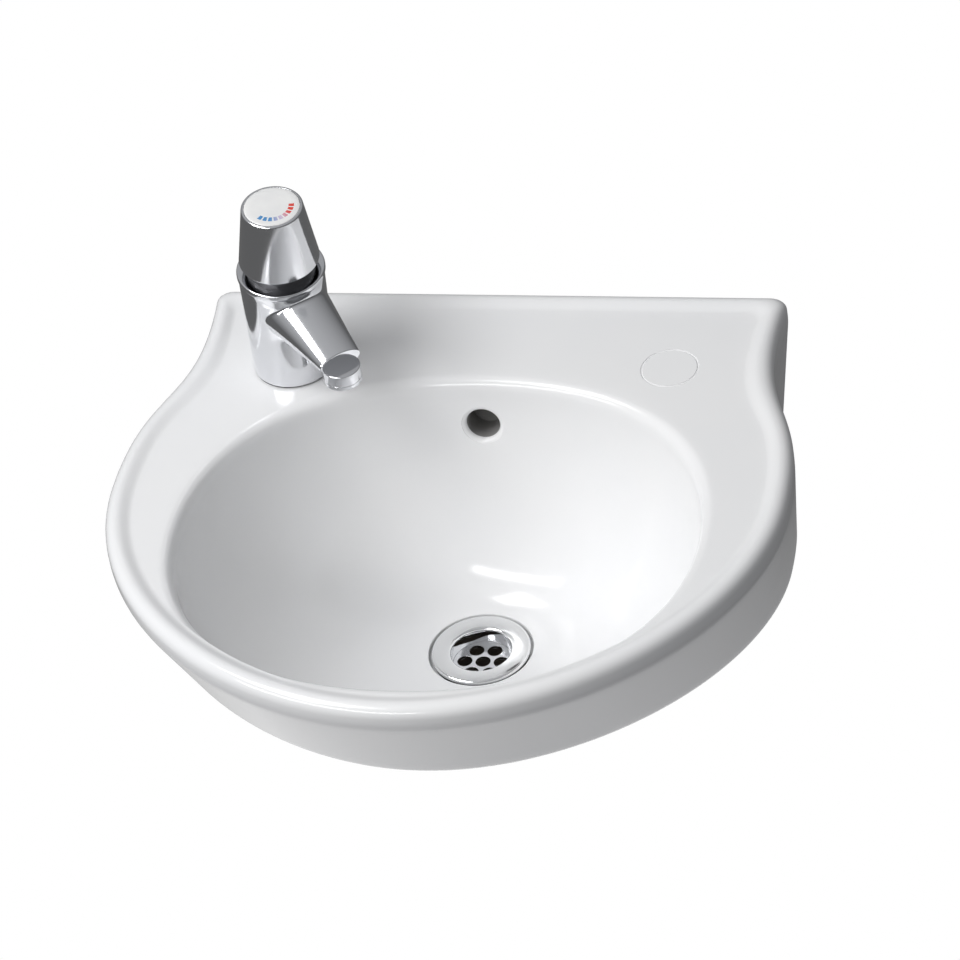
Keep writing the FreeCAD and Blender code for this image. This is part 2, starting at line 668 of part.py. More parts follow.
def tap_body():
    """Return the chromed tap body with its spout, cartridge bore, inlets and waterway."""
    base = BASE_DIAMETER / 2
    top = BODY_TOP_DIAMETER / 2
    bead_bottom = BODY_HEIGHT - BEAD_HEIGHT
    barrel = turned([
        (0, -OVERSHOOT),
        (base, -OVERSHOOT),
        (base, 0),
        (top, bead_bottom - BEAD_STEP),
        (top + BEAD_STEP, bead_bottom),
        (top + BEAD_STEP, BODY_HEIGHT - BEAD_STEP),
        (top, BODY_HEIGHT),
        (0, BODY_HEIGHT),
    ])
    reach = 2 * (BODY_HEIGHT + SPOUT_REACH)
    corner = FreeCAD.Vector(-reach / 2, -reach / 2, 0)
    above = Part.makeBox(reach, reach, reach, corner + UP * (bead_bottom - BEAD_STEP))
    below = Part.makeBox(reach, reach, reach, corner + UP * (BASE_GASKET - reach))
    spout = Part.makeLoft([
        spout_section(0, SPOUT_ROOT_HALF_WIDTH, SPOUT_ROOT_BOTTOM, SPOUT_ROOT_TOP),
        spout_section(SPOUT_REACH, SPOUT_TIP_HALF_WIDTH, SPOUT_TIP_BOTTOM, SPOUT_TIP_TOP),
    ], True, True)
    nose = cylinder(NOSE_RADIUS, NOSE_BOTTOM, AERATOR_CHAMBER_TOP + NOSE_WALL, 0, -SPOUT_REACH)
    body = rake(barrel).fuse([spout.cut(rake(above)), nose]).cut(below)
    body = body.fuse(cylinder(SPIGOT_DIAMETER / 2, -SPIGOT_DEPTH, BASE_GASKET + PAST))
    tools = [rake(cylinder(BORE_DIAMETER / 2, BORE_FLOOR, BODY_HEIGHT + PAST)), waterway()]
    for place in inlet_places():
        thread_top = INLET_THREAD_LENGTH - SPIGOT_DEPTH
        tools.append(cylinder(INLET_THREAD / 2, -SPIGOT_DEPTH - PAST, thread_top, place))
        tools.append(cylinder(PORT_DIAMETER / 2, -SPIGOT_DEPTH, BORE_FLOOR + PORT_DIAMETER / 2, place))
    stud_hole = STUD_DIAMETER / 2 + THREAD_CLEARANCE
    tools.append(cylinder(stud_hole, -SPIGOT_DEPTH - PAST, STUD_ENGAGED - SPIGOT_DEPTH, 0, STUD_OFFSET))
    tools.append(cylinder(AERATOR_THREAD / 2, NOSE_BOTTOM - PAST, AERATOR_CHAMBER_TOP, 0, -SPOUT_REACH))
    return body.cut(tools)


def horseshoe(bottom, top):
    """Return a round plate under the deck, open at the front for the inlets and drilled for the stud."""
    clear = INLET_THREAD / 2 + THREAD_CLEARANCE + PLATE_WEB
    half_slot = PORT_SPACING / 2 + clear
    slot_end = STUD_OFFSET - STUD_DIAMETER / 2 - THREAD_CLEARANCE - PLATE_WEB
    slot = Part.makeBox(
        2 * half_slot,
        PLATE_DIAMETER,
        top - bottom + 2 * PAST,
        FreeCAD.Vector(-half_slot, slot_end - PLATE_DIAMETER, bottom - PAST),
    )
    hole = cylinder(STUD_DIAMETER / 2 + THREAD_CLEARANCE, bottom - PAST, top + PAST, 0, STUD_OFFSET)
    return cylinder(PLATE_DIAMETER / 2, bottom, top).cut([slot, hole])


def tap_fixing_parts():
    """Return the upright pieces that seal and clamp the tap to the deck, by name."""
    rubber_bottom = DECK_BELOW - RUBBER_THICKNESS
    plate_bottom = rubber_bottom - PLATE_THICKNESS
    stud_top = STUD_ENGAGED - SPIGOT_DEPTH
    nut_bottom = plate_bottom - NUT_HEIGHT
    nut_hole = STUD_DIAMETER / 2 + THREAD_CLEARANCE
    nut = hexagon(NUT_FLATS, nut_bottom, plate_bottom, 0, STUD_OFFSET)
    nut = nut.cut(cylinder(nut_hole, nut_bottom - PAST, plate_bottom + PAST, 0, STUD_OFFSET))
    filter_bottom = INLET_THREAD_LENGTH - SPIGOT_DEPTH
    filter_top = filter_bottom + FILTER_THICKNESS
    filter_radius = PORT_DIAMETER / 2 - RUNNING_CLEARANCE
    filters = [cylinder(filter_radius, filter_bottom, filter_top, place) for place in inlet_places()]
    gasket_inner = SPIGOT_DIAMETER / 2 + CARTRIDGE_CLEARANCE
    return {
        "tap_base_gasket": ring(BASE_DIAMETER / 2 - BASE_GASKET / 2, gasket_inner, 0, BASE_GASKET),
        "fixing_rubber": horseshoe(rubber_bottom, DECK_BELOW),
        "fixing_plate": horseshoe(plate_bottom, rubber_bottom),
        "fixing_stud": cylinder(STUD_DIAMETER / 2, stud_top - STUD_LENGTH, stud_top, 0, STUD_OFFSET),
        "fixing_nut": nut,
        "inlet_filters": Part.makeCompound(filters),
    }


def aerator_parts():
    """Return the aerator's pieces by name, hanging under the spout's nose."""
    thread = AERATOR_THREAD / 2 - THREAD_CLEARANCE
    thread_top = NOSE_BOTTOM + AERATOR_THREAD_LENGTH
    bore = AERATOR_BORE / 2
    outside = AERATOR_DIAMETER / 2
    housing = turned([
        (bore - AERATOR_LIP, OUTLET_HEIGHT),
        (outside - AERATOR_LIP, OUTLET_HEIGHT),
        (outside, OUTLET_HEIGHT + AERATOR_LIP),
        (outside, NOSE_BOTTOM),
        (thread, NOSE_BOTTOM),
        (thread, thread_top),
        (bore, thread_top),
        (bore, OUTLET_HEIGHT + AERATOR_LIP),
        (bore - AERATOR_LIP, OUTLET_HEIGHT + AERATOR_LIP),
    ])
    insert_bottom = OUTLET_HEIGHT + AERATOR_LIP
    insert_top = insert_bottom + AERATOR_INSERT
    insert = cylinder(bore - THREAD_CLEARANCE, insert_bottom, insert_top)
    holes = [cylinder(AERATOR_HOLE / 2, insert_bottom - PAST, insert_top + PAST)]
    for circle in (1, 2):
        for index in range(6 * circle):
            angle = math.pi * index / (3 * circle)
            radius = circle * AERATOR_HOLE_PITCH
            place = (radius * math.cos(angle), radius * math.sin(angle))
            holes.append(cylinder(AERATOR_HOLE / 2, insert_bottom - PAST, insert_top + PAST, *place))
    pieces = {
        "aerator_housing": housing,
        "aerator_insert": insert.cut(holes),
        "aerator_washer": ring(thread, bore - 2 * AERATOR_LIP, thread_top, AERATOR_CHAMBER_TOP),
    }
    for shape in pieces.values():
        shape.translate(FreeCAD.Vector(0, -SPOUT_REACH, 0))
    return pieces


def knob_radius(height):
    """Return the knob's outer radius at a height along its axis."""
    share = (height - KNOB_BOTTOM) / KNOB_HEIGHT
    return (KNOB_BOTTOM_DIAMETER + (KNOB_TOP_DIAMETER - KNOB_BOTTOM_DIAMETER) * share) / 2


def port_places():
    """Return where the inlets' ports meet the bore's floor, in the raked frame."""
    shift = BORE_FLOOR * math.tan(math.radians(TAP_RAKE))
    return [(place, shift) for place in inlet_places()]


def kidney_slot(bottom, top):
    """Return the curved slot at the front of the upper disc and its driver, for the mixed water."""
    inner = DRIVER_BOSS_RADIUS + MOVING_CLEARANCE
    outer = inner + KIDNEY_WIDTH
    front = Part.makeBox(2 * outer, outer, top - bottom, FreeCAD.Vector(-outer, -outer - inner / 2, bottom))
    return ring(outer, inner, bottom, top).common(front)


def disc_parts():
    """Return the mixing discs, their seals and the driver that turns the upper disc, by name."""
    seal_radius = PORT_DIAMETER / 2 + PORT_SEAL_SECTION
    seal_top = BORE_FLOOR + PORT_SEAL_SECTION
    fixed = cylinder(SLEEVE_RADIUS, BORE_FLOOR, FIXED_TOP)
    seals = []
    for x, y in port_places():
        fixed = fixed.cut([
            cylinder(seal_radius + THREAD_CLEARANCE, BORE_FLOOR - PAST, seal_top, x, y),
            cylinder(PORT_DIAMETER / 2, BORE_FLOOR, FIXED_TOP + PAST, x, y),
        ])
        seals.append(ring(seal_radius, PORT_DIAMETER / 2, BORE_FLOOR, seal_top, x, y))
    disc_radius = CHAMBER_RADIUS - MOVING_CLEARANCE
    pin_place = (DRIVER_BOSS_RADIUS + disc_radius) / 2
    pin_bottom = MIXING_TOP - DRIVE_PIN_DEPTH
    mixing = cylinder(disc_radius, FIXED_TOP, MIXING_TOP).cut([
        cylinder(HEX_CORNER + NECK_CLEARANCE, FIXED_TOP - PAST, MIXING_TOP + PAST),
        kidney_slot(FIXED_TOP - PAST, MIXING_TOP + PAST),
    ])
    driver = cylinder(disc_radius, MIXING_TOP, PLATE_TOP)
    driver = driver.fuse(cylinder(DRIVER_BOSS_RADIUS, MIXING_TOP, DRIVER_TOP))
    driver = driver.cut(kidney_slot(MIXING_TOP - PAST, PLATE_TOP + PAST))
    pin_radius = DRIVE_PIN / 2
    for side in (-1, 1):
        pin_hole = cylinder(pin_radius + THREAD_CLEARANCE, pin_bottom, MIXING_TOP + PAST, side * pin_place)
        mixing = mixing.cut(pin_hole)
        driver = driver.fuse(cylinder(pin_radius, pin_bottom, PLATE_TOP, side * pin_place))
    driver = driver.cut(hexagon(HEX_FLATS + 2 * RUNNING_CLEARANCE, MIXING_TOP - PAST, DRIVER_TOP + PAST))
    return {
        "port_seals": Part.makeCompound(seals),
        "fixed_disc": fixed,
        "mixing_disc": mixing,
        "mixing_driver": driver,
    }


def plunger_parts():
    """Return the pieces that the push knob drives, and the knob itself, by name."""
    rod = ROD_DIAMETER / 2
    piston_radius = CHAMBER_RADIUS - MOVING_CLEARANCE
    seal_radius = CHAMBER_RADIUS - RUNNING_CLEARANCE
    groove_radius = piston_radius - PISTON_GROOVE_DEPTH
    groove_bottom = PISTON_BOTTOM + (PISTON_HEIGHT - PISTON_GROOVE) / 2
    groove_top = groove_bottom + PISTON_GROOVE
    hex_bottom = DRIVER_TOP - HEX_ENGAGED
    screw_radius = SCREW_DIAMETER / 2
    plunger = turned([
        (0, PISTON_BOTTOM),
        (piston_radius, PISTON_BOTTOM),
        (piston_radius, groove_bottom),
        (groove_radius, groove_bottom),
        (groove_radius, groove_top),
        (piston_radius, groove_top),
        (piston_radius, PISTON_TOP),
        (rod, PISTON_TOP),
        (rod, WEB_BOTTOM),
        (0, WEB_BOTTOM),
    ]).fuse(hexagon(HEX_FLATS, hex_bottom, PISTON_BOTTOM + PISTON_HEIGHT / 4))
    head_bottom = WEB_TOP - SCREW_HEAD - CARTRIDGE_CLEARANCE
    screw_bottom = head_bottom - SCREW_LENGTH
    plunger = plunger.cut(cylinder(screw_radius + THREAD_CLEARANCE, screw_bottom - PAST, WEB_BOTTOM + PAST))
    hub_bottom = WEB_BOTTOM - KNOB_HUB_LENGTH
    hub_bore = rod + THREAD_CLEARANCE
    hub = hub_bore + KNOB_HUB_WALL
    cap_radius = CAP_DIAMETER / 2
    head_radius = SCREW_HEAD_DIAMETER / 2
    knob = turned([
        (hub_bore, hub_bottom),
        (hub, hub_bottom),
        (hub, WEB_BOTTOM),
        (knob_radius(WEB_BOTTOM) - KNOB_WALL, WEB_BOTTOM),
        (knob_radius(KNOB_BOTTOM) - KNOB_WALL, KNOB_BOTTOM),
        (knob_radius(KNOB_BOTTOM), KNOB_BOTTOM),
        (knob_radius(KNOB_TOP - KNOB_EASING), KNOB_TOP - KNOB_EASING),
        (knob_radius(KNOB_TOP) - KNOB_EASING, KNOB_TOP),
        (cap_radius + CARTRIDGE_CLEARANCE, KNOB_TOP),
        (cap_radius + CARTRIDGE_CLEARANCE, WEB_TOP),
        (head_radius + CARTRIDGE_CLEARANCE, WEB_TOP),
        (head_radius + CARTRIDGE_CLEARANCE, head_bottom),
        (screw_radius + THREAD_CLEARANCE, head_bottom),
        (screw_radius + THREAD_CLEARANCE, WEB_BOTTOM),
        (hub_bore, WEB_BOTTOM),
    ])
    cap_top = WEB_TOP + CAP_THICKNESS
    cap = turned([
        (0, WEB_TOP),
        (cap_radius, WEB_TOP),
        (cap_radius, cap_top - CAP_EASING),
        (cap_radius - CAP_EASING, cap_top),
        (0, cap_top),
    ])
    screw = cylinder(screw_radius, screw_bottom, head_bottom).fuse(
        cylinder(head_radius, head_bottom, head_bottom + SCREW_HEAD)
    )
    socket = hexagon(SCREW_SOCKET, head_bottom + SCREW_HEAD / 3, head_bottom + SCREW_HEAD + PAST)
    return {
        "plunger": plunger,
        "plunger_seal": ring(seal_radius, groove_radius, groove_bottom, groove_top),
        "push_knob": knob,
        "index_cap": cap,
        "knob_screw": screw.cut(socket),
    }


def collar_parts():
    """Return the sleeve and the collar that hold the cartridge in its bore, by name."""
    thread = BORE_DIAMETER / 2 - THREAD_CLEARANCE
    rod_bore = ROD_DIAMETER / 2 + RUNNING_CLEARANCE
    groove = ROD_DIAMETER / 2 + ROD_SEAL_WIDTH
    groove_top = SLEEVE_TOP + ROD_SEAL_HEIGHT
    neck = knob_radius(NECK_TOP + PRESS_TRAVEL) - KNOB_WALL - NECK_CLEARANCE
    collar = turned([
        (groove, SLEEVE_TOP),
        (thread, SLEEVE_TOP),
        (thread, BODY_HEIGHT),
        (neck, BODY_HEIGHT),
        (neck, NECK_TOP),
        (rod_bore, NECK_TOP),
        (rod_bore, groove_top),
        (groove, groove_top),
    ])
    return {
        "cartridge_sleeve": ring(SLEEVE_RADIUS, CHAMBER_RADIUS, FIXED_TOP, SLEEVE_TOP),
        "retaining_collar": collar,
        "rod_seal": ring(groove, rod_bore, SLEEVE_TOP, groove_top),
    }


def arc_from(start, direction, end):
    """Return the arc that leaves start along direction and comes to end."""
    chord = end - start
    along = chord * (1 / chord.Length)
    aside = direction - along * direction.dot(along)
    turn = math.acos(direction.dot(along))
    bulge = aside * (chord.Length / 2 * math.tan(turn / 2) / aside.Length)
    return Part.Arc(start, start + chord * 0.5 + bulge, end).toShape()


def helix_point(angle, radius, bottom, pitch):
    """Return a point of a helix about the Z axis and the helix's direction there."""
    rise = pitch / (2 * math.pi)
    point = FreeCAD.Vector(radius * math.cos(angle), radius * math.sin(angle), bottom + rise * angle)
    direction = FreeCAD.Vector(-radius * math.sin(angle), radius * math.cos(angle), rise)
    return point, direction.normalize()


def return_spring():
    """Return the coil that lifts the plunger, as one tube along pairs of arcs, a quarter turn each."""
    bottom = PLATE_TOP + SPRING_WIRE / 2 + THREAD_CLEARANCE
    top = PISTON_BOTTOM - SPRING_WIRE / 2 - THREAD_CLEARANCE
    pitch = (top - bottom) / SPRING_TURNS
    quarter = math.pi / 2
    edges = []
    for step in range(4 * SPRING_TURNS):
        start, leaving = helix_point(step * quarter, SPRING_RADIUS, bottom, pitch)
        end, arriving = helix_point((step + 1) * quarter, SPRING_RADIUS, bottom, pitch)
        span = end - start
        both = leaving + arriving
        spread = 2 * (1 - leaving.dot(arriving))
        reach = (math.sqrt(span.dot(both) ** 2 + spread * span.dot(span)) - span.dot(both)) / spread
        middle = (start + end + (leaving - arriving) * reach) * 0.5
        edges.append(arc_from(start, leaving, middle))
        edges.append(arc_from(end, arriving * -1, middle))
    path = Part.Wire(Part.sortEdges(edges)[0])
    start, leaving = helix_point(0, SPRING_RADIUS, bottom, pitch)
    section = Part.Wire(Part.Circle(start, leaving, SPRING_WIRE / 2).toShape())
    print("return spring: least gap between turns", round(pitch - SPRING_WIRE, 2), "mm")
    return path.makePipeShell([section], True, False)


def tap_parts():
    """Return all the tap's pieces by name, in place on the deck."""
    upright = {"tap_body": tap_body(), **tap_fixing_parts(), **aerator_parts()}
    raked = {**disc_parts(), **collar_parts(), **plunger_parts(), "return_spring": return_spring()}
    pieces = {name: place_tap(shape) for name, shape in upright.items()}
    for name, shape in raked.items():
        leaned = rake(shape)
        if name == "cartridge_sleeve":
            leaned = leaned.cut(waterway())
        pieces[name] = place_tap(leaned)
    return pieces


def main():
    """Build every piece and write it to its own file."""
    os.makedirs("parts", exist_ok=True)
    pieces = {"basin_casting": basin_casting(), **waste_parts(), **tap_parts()}
    for name, shape in pieces.items():
        shape.exportStep(f"parts/{name}.step")
        print(name, shape.isValid(), len(shape.Solids), round(shape.Volume))


main()
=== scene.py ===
"""Finger rinse basin: shaped surfaces, finishes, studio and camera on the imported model."""

import json
import logging
import math
from dataclasses import dataclass
from enum import Enum
from typing import Callable, Sequence

import bmesh
import bpy
from mathutils import Matrix, Vector

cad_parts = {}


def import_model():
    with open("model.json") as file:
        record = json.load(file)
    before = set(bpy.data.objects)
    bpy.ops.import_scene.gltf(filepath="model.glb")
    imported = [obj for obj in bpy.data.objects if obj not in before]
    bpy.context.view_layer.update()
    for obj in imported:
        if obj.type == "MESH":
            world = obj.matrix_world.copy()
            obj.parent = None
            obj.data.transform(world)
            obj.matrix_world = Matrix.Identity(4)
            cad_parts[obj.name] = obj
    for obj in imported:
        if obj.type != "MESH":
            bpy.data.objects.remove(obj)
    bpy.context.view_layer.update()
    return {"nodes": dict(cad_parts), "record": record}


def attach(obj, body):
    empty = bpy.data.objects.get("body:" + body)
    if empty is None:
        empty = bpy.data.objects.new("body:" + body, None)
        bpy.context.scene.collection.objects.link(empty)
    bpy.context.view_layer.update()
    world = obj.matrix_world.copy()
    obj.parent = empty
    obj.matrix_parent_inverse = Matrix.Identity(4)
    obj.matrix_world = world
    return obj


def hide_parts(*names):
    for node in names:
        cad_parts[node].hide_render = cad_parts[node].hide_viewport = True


LOG = logging.getLogger("rinse_basin")

Colour = tuple[float, float, float]
Point = tuple[float, float, float]
Pair = tuple[float, float]

# How meshes are made: a millimetre in metres, steps, merging in mm and the angle of a sharp edge

METRES = 0.001
TURN_STEPS = 96
DRILL_STEPS = 48
EASING_STEPS = 5
SOLVE_STEPS = 48
MERGE = 0.0005
SHARP_DEGREES = 33.0
CREST_SHARES = (0.4, 0.6)

# How nodes are made: the sockets of a Mix node for colours, and the range that holds most of a noise

MIX_FIRST = 6
MIX_SECOND = 7
MIX_RESULT = 2
NOISE_LOW = 0.32
NOISE_HIGH = 0.68

# Places and sizes in mm that more than one sub-assembly depends on

DECK_Z = 57.5
TAP_SIDE = 113.0
TAP_FROM_WALL = 67.0
WASTE_FROM_WALL = 166.0
BOSS_Z = -111.8
SPOUT_REACH = 71.0
NOSE_RADIUS = 11.2
NOSE_BOTTOM = 36.5
COLLAR_SHOULDER = 77.5
GASKET_THICKNESS = 1.5
STUD_OFFSET = 11.5


class Body(Enum):
    """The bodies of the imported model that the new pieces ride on."""

    BASIN = "basin"
    KNOB = "push_control"


class Slot(Enum):
    """The record's material slots."""

    CHINA = "glazed_china"
    CHROME = "chrome"
    BRASS = "brass"
    STEEL = "steel"
    RUBBER = "rubber"
    WHITE_PLASTIC = "white_plastic"
    GREY_PLASTIC = "grey_plastic"
    DISC_CERAMIC = "disc_ceramic"


class Carve(Enum):
    """How a Boolean joins a blank and its tools."""

    CUT = "DIFFERENCE"
    KEEP = "INTERSECT"


# Curves and small mesh tools


def lerp(first: float, second: float, share: float) -> float:
    """Return the value at a share of the way from first to second."""
    return first + (second - first) * share


def smooth(share: float) -> float:
    """Return an eased share that starts and ends level."""
    held = min(max(share, 0.0), 1.0)
    return held * held * (3.0 - 2.0 * held)


def cubic(points: Sequence[float], share: float) -> float:
    """Work out a cubic Bezier curve's value.

    Args:
        points: the curve's four control values.
        share: how far along the curve.

    Returns:
        The value there.
    """
    rest = 1.0 - share
    weights = (rest**3, 3 * rest * rest * share, 3 * rest * share * share, share**3)
    return sum(weight * point for weight, point in zip(weights, points))


def oval_quarter(turn: float, wide: float, long: float, full: float) -> Pair:
    """Return a point of a quarter of an oval, from its side to its end."""
    return cubic((wide, wide, full * wide, 0.0), turn), cubic((0.0, full * long, long, long), turn)


def solve(rising: Callable[[float], float], low: float, high: float) -> float:
    """Find where a rising function passes zero.

    Args:
        rising: the function, negative at low and positive at high.
        low: the lower end of the search.
        high: the upper end of the search.

    Returns:
        The place of the zero.
    """
    for _ in range(SOLVE_STEPS):
        middle = (low + high) / 2
        if rising(middle) < 0:
            low = middle
        else:
            high = middle
    return (low + high) / 2


def quarter_round(steps: int, first: int = 1) -> list[Pair]:
    """Step round a quarter of a circle of radius one.

    Args:
        steps: how many steps make the quarter.
        first: the step to begin with, zero for the very start.

    Returns:
        For each step, one less the cosine and one less the sine of its angle.
    """
    angles = [step / steps * math.pi / 2 for step in range(first, steps + 1)]
    return [(1 - math.cos(angle), 1 - math.sin(angle)) for angle in angles]


@dataclass(frozen=True)
class Corner:
    """A corner of a turned outline: its radius and height in mm, and how far it is rounded."""

    radius: float
    height: float
    easing: float = 0.0


def turned(corners: Sequence[Corner], closed: bool = True, steps: int = TURN_STEPS) -> bmesh.types.BMesh:
    """Turn an outline about the Z axis.

    Args:
        corners: the outline's corners in order.
        closed: whether the last corner joins the first; an outline that starts and ends on the axis is open.
        steps: how many steps make the turn.

    Returns:
        The turned shape in mm.
    """
    shape = bmesh.new()
    verts = [shape.verts.new((corner.radius, 0.0, corner.height)) for corner in corners]
    pairs = list(zip(verts, verts[1:]))
    if closed:
        pairs.append((verts[-1], verts[0]))
    for pair in pairs:
        shape.edges.new(pair)
    for easing in sorted({corner.easing for corner in corners if corner.easing > 0}):
        soft = [vert for vert, corner in zip(verts, corners) if corner.easing == easing]
        bmesh.ops.bevel(
            shape,
            geom=soft,
            offset=easing,
            affect="VERTICES",
            segments=EASING_STEPS,
            profile=0.5,
            material=-1,
        )
    bmesh.ops.spin(
        shape,
        geom=shape.verts[:] + shape.edges[:],
        cent=(0, 0, 0),
        axis=(0, 0, 1),
        angle=2 * math.pi,
        steps=steps,
        use_merge=True,
    )
    tidy(shape)
    return shape


def tidy(shape: bmesh.types.BMesh) -> None:
    """Merge a shape's doubled vertices and turn its faces outward."""
    bmesh.ops.remove_doubles(shape, verts=shape.verts[:], dist=MERGE)
    bmesh.ops.recalc_face_normals(shape, faces=shape.faces[:])


def thread_corners(crest: float, depth: float, top: float, bottom: float, pitch: float) -> list[Corner]:
    """Draw the zigzag of a thread's outline.

    Args:
        crest: the radius of the thread's crests.
        depth: how deep its roots are.
        top: the level it starts at.
        bottom: the level it goes down to.
        pitch: the distance from turn to turn.

    Returns:
        The outline's corners from top to bottom.
    """
    corners = []
    for turn in range(int((top - bottom) / pitch)):
        level = top - turn * pitch
        corners.append(Corner(crest - depth, level))
        corners += [Corner(crest, level - share * pitch) for share in CREST_SHARES]
    corners.append(Corner(crest - depth, bottom))
    return corners


def rod(radius: float, bottom: float, top: float, steps: int = TURN_STEPS) -> bmesh.types.BMesh:
    """Return a plain upright cylinder in mm."""
    return turned(
        [Corner(0, bottom), Corner(radius, bottom), Corner(radius, top), Corner(0, top)],
        closed=False,
        steps=steps,
    )


def drill(
    spot: Pair, radius: float, bottom: float, top: float, steps: int = DRILL_STEPS
) -> bmesh.types.BMesh:
    """Make an upright drill to cut with.

    Args:
        spot: where its axis stands across and along.
        radius: its radius.
        bottom: the level of its lower end.
        top: the level of its upper end.
        steps: how many steps go round it.

    Returns:
        The drill in mm.
    """
    tool = rod(radius, bottom, top, steps)
    tool.transform(Matrix.Translation((*spot, 0)))
    return tool


def hexagon(flats: float, bottom: float, top: float) -> bmesh.types.BMesh:
    """Make an upright hexagonal bar.

    Args:
        flats: its width across two flats.
        bottom: the level of its lower end.
        top: the level of its upper end.

    Returns:
        The bar in mm, with two flats across X.
    """
    shape = bmesh.new()
    bmesh.ops.create_cone(
        shape,
        cap_ends=True,
        segments=6,
        radius1=flats / math.sqrt(3),
        radius2=flats / math.sqrt(3),
        depth=top - bottom,
        matrix=Matrix.Translation((0, 0, (top + bottom) / 2)),
    )
    return shape


def scratch_object(shape: bmesh.types.BMesh) -> bpy.types.Object:
    """Put a shape into the scene for a while.

    Args:
        shape: the shape, which is used up.

    Returns:
        The object that holds it.
    """
    mesh = bpy.data.meshes.new("scratch")
    shape.to_mesh(mesh)
    shape.free()
    blank = bpy.data.objects.new("scratch", mesh)
    bpy.context.scene.collection.objects.link(blank)
    return blank


def carve(
    shape: bmesh.types.BMesh, tools: Sequence[bmesh.types.BMesh], how: Carve = Carve.CUT
) -> bmesh.types.BMesh:
    """Apply a Boolean with each tool in turn.

    Args:
        shape: the blank, which is used up.
        tools: the other shapes, which are used up.
        how: whether the tools are cut away or kept in common.

    Returns:
        The carved shape.
    """
    blank = scratch_object(shape)
    others = [scratch_object(tool) for tool in tools]
    for other in others:
        step = blank.modifiers.new("carve", "BOOLEAN")
        step.operation = how.value
        step.solver = "EXACT"
        step.object = other
    result = bmesh.new()
    result.from_object(blank, bpy.context.evaluated_depsgraph_get())
    for done in [blank] + others:
        mesh = done.data
        bpy.data.objects.remove(done)
        bpy.data.meshes.remove(mesh)
    return result


class Loft:
    """A surface grown ring by ring from one closed ring of vertices."""

    def __init__(self, first: Sequence[Vector]) -> None:
        """Start the surface.

        Args:
            first: the points of its first ring.
        """
        self.shape = bmesh.new()
        self.place = self.shape.verts.layers.int.new("place")
        self.row = self.shape.verts.layers.int.new("row")
        self.rows = 0
        made = bmesh.ops.create_circle(self.shape, cap_ends=False, radius=1.0, segments=len(first))
        self.edge = self.shape.edges[:]
        for index, vert in enumerate(made["verts"]):
            vert[self.place] = index
            vert.co = first[index]

    def grow(self, ring: Sequence[Vector]) -> None:
        """Extrude the open edge to a next ring.

        Args:
            ring: the ring's points, one for each vertex of the edge.
        """
        made = bmesh.ops.extrude_edge_only(self.shape, edges=self.edge)["geom"]
        fresh = {part for part in made if isinstance(part, bmesh.types.BMVert)}
        self.rows += 1
        for vert in fresh:
            vert.co = ring[vert[self.place]]
            vert[self.row] = self.rows
        self.edge = [
            part for part in made if isinstance(part, bmesh.types.BMEdge) and fresh.issuperset(part.verts)
        ]

    def fill(self) -> None:
        """Close the open edge with one face."""
        bmesh.ops.holes_fill(self.shape, edges=self.edge, sides=0)


# Finishes


class Graph:
    """A short way to write a node tree."""

    def __init__(self, tree: bpy.types.NodeTree) -> None:
        """Keep the tree that the nodes go into."""
        self.tree = tree

    def add(
        self, kind: str, feeds: dict[str | int, object] | None = None, **settings: object
    ) -> bpy.types.Node:
        """Add a node.

        Args:
            kind: the node's type name.
            feeds: for each input, a socket to link from or a value to hold.
            settings: the node's own properties.

        Returns:
            The new node.
        """
        node = self.tree.nodes.new(kind)
        for name, value in settings.items():
            setattr(node, name, value)
        for name, value in (feeds or {}).items():
            if isinstance(value, bpy.types.NodeSocket):
                self.tree.links.new(value, node.inputs[name])
            else:
                node.inputs[name].default_value = value
        return node

    def group(self, tree: bpy.types.NodeTree, feeds: dict[str | int, object]) -> bpy.types.Node:
        """Add a node group with its inputs."""
        return self.add("ShaderNodeGroup", feeds, node_tree=tree)

    def place(self) -> bpy.types.NodeSocket:
        """Add the object coordinates and return their socket."""
        return self.add("ShaderNodeTexCoord").outputs["Object"]

    def math(self, operation: str, *values: object) -> bpy.types.NodeSocket:
        """Add a math node and return its result."""
        return self.add("ShaderNodeMath", dict(enumerate(values)), operation=operation).outputs[0]

    def mix(self, share: object, first: object, second: object) -> bpy.types.NodeSocket:
        """Mix two colours and return the result."""
        feeds = {"Factor": share, MIX_FIRST: first, MIX_SECOND: second}
        return self.add("ShaderNodeMix", feeds, data_type="RGBA").outputs[MIX_RESULT]

    def paint(self, shader: bpy.types.Node, share: object, colour: object) -> None:
        """Lay a share of a colour over the linked tint of a shader."""
        tint = shader.inputs["Base Color"].links[0].from_socket
        self.tree.links.new(self.mix(share, tint, colour), shader.inputs["Base Color"])


def fresh_graph(owner: bpy.types.Material | bpy.types.World) -> Graph:
    """Empty the node tree of a material or world.

    Args:
        owner: the material or world.

    Returns:
        A graph to write its nodes with.
    """
    owner.use_nodes = True
    owner.node_tree.nodes.clear()
    return Graph(owner.node_tree)


def effect_group(
    name: str, inputs: dict[str, str], output: str, kind: str
) -> tuple[bpy.types.NodeTree, Graph]:
    """Start a shader node group with named sockets.

    Args:
        name: the group's name.
        inputs: each input's name and socket type.
        output: the one output's name.
        kind: the output's socket type.

    Returns:
        The group's tree and a graph to write it with.
    """
    tree = bpy.data.node_groups.new(name, "ShaderNodeTree")
    for label, socket in inputs.items():
        tree.interface.new_socket(label, in_out="INPUT", socket_type=socket)
    tree.interface.new_socket(output, in_out="OUTPUT", socket_type=kind)
    return tree, Graph(tree)


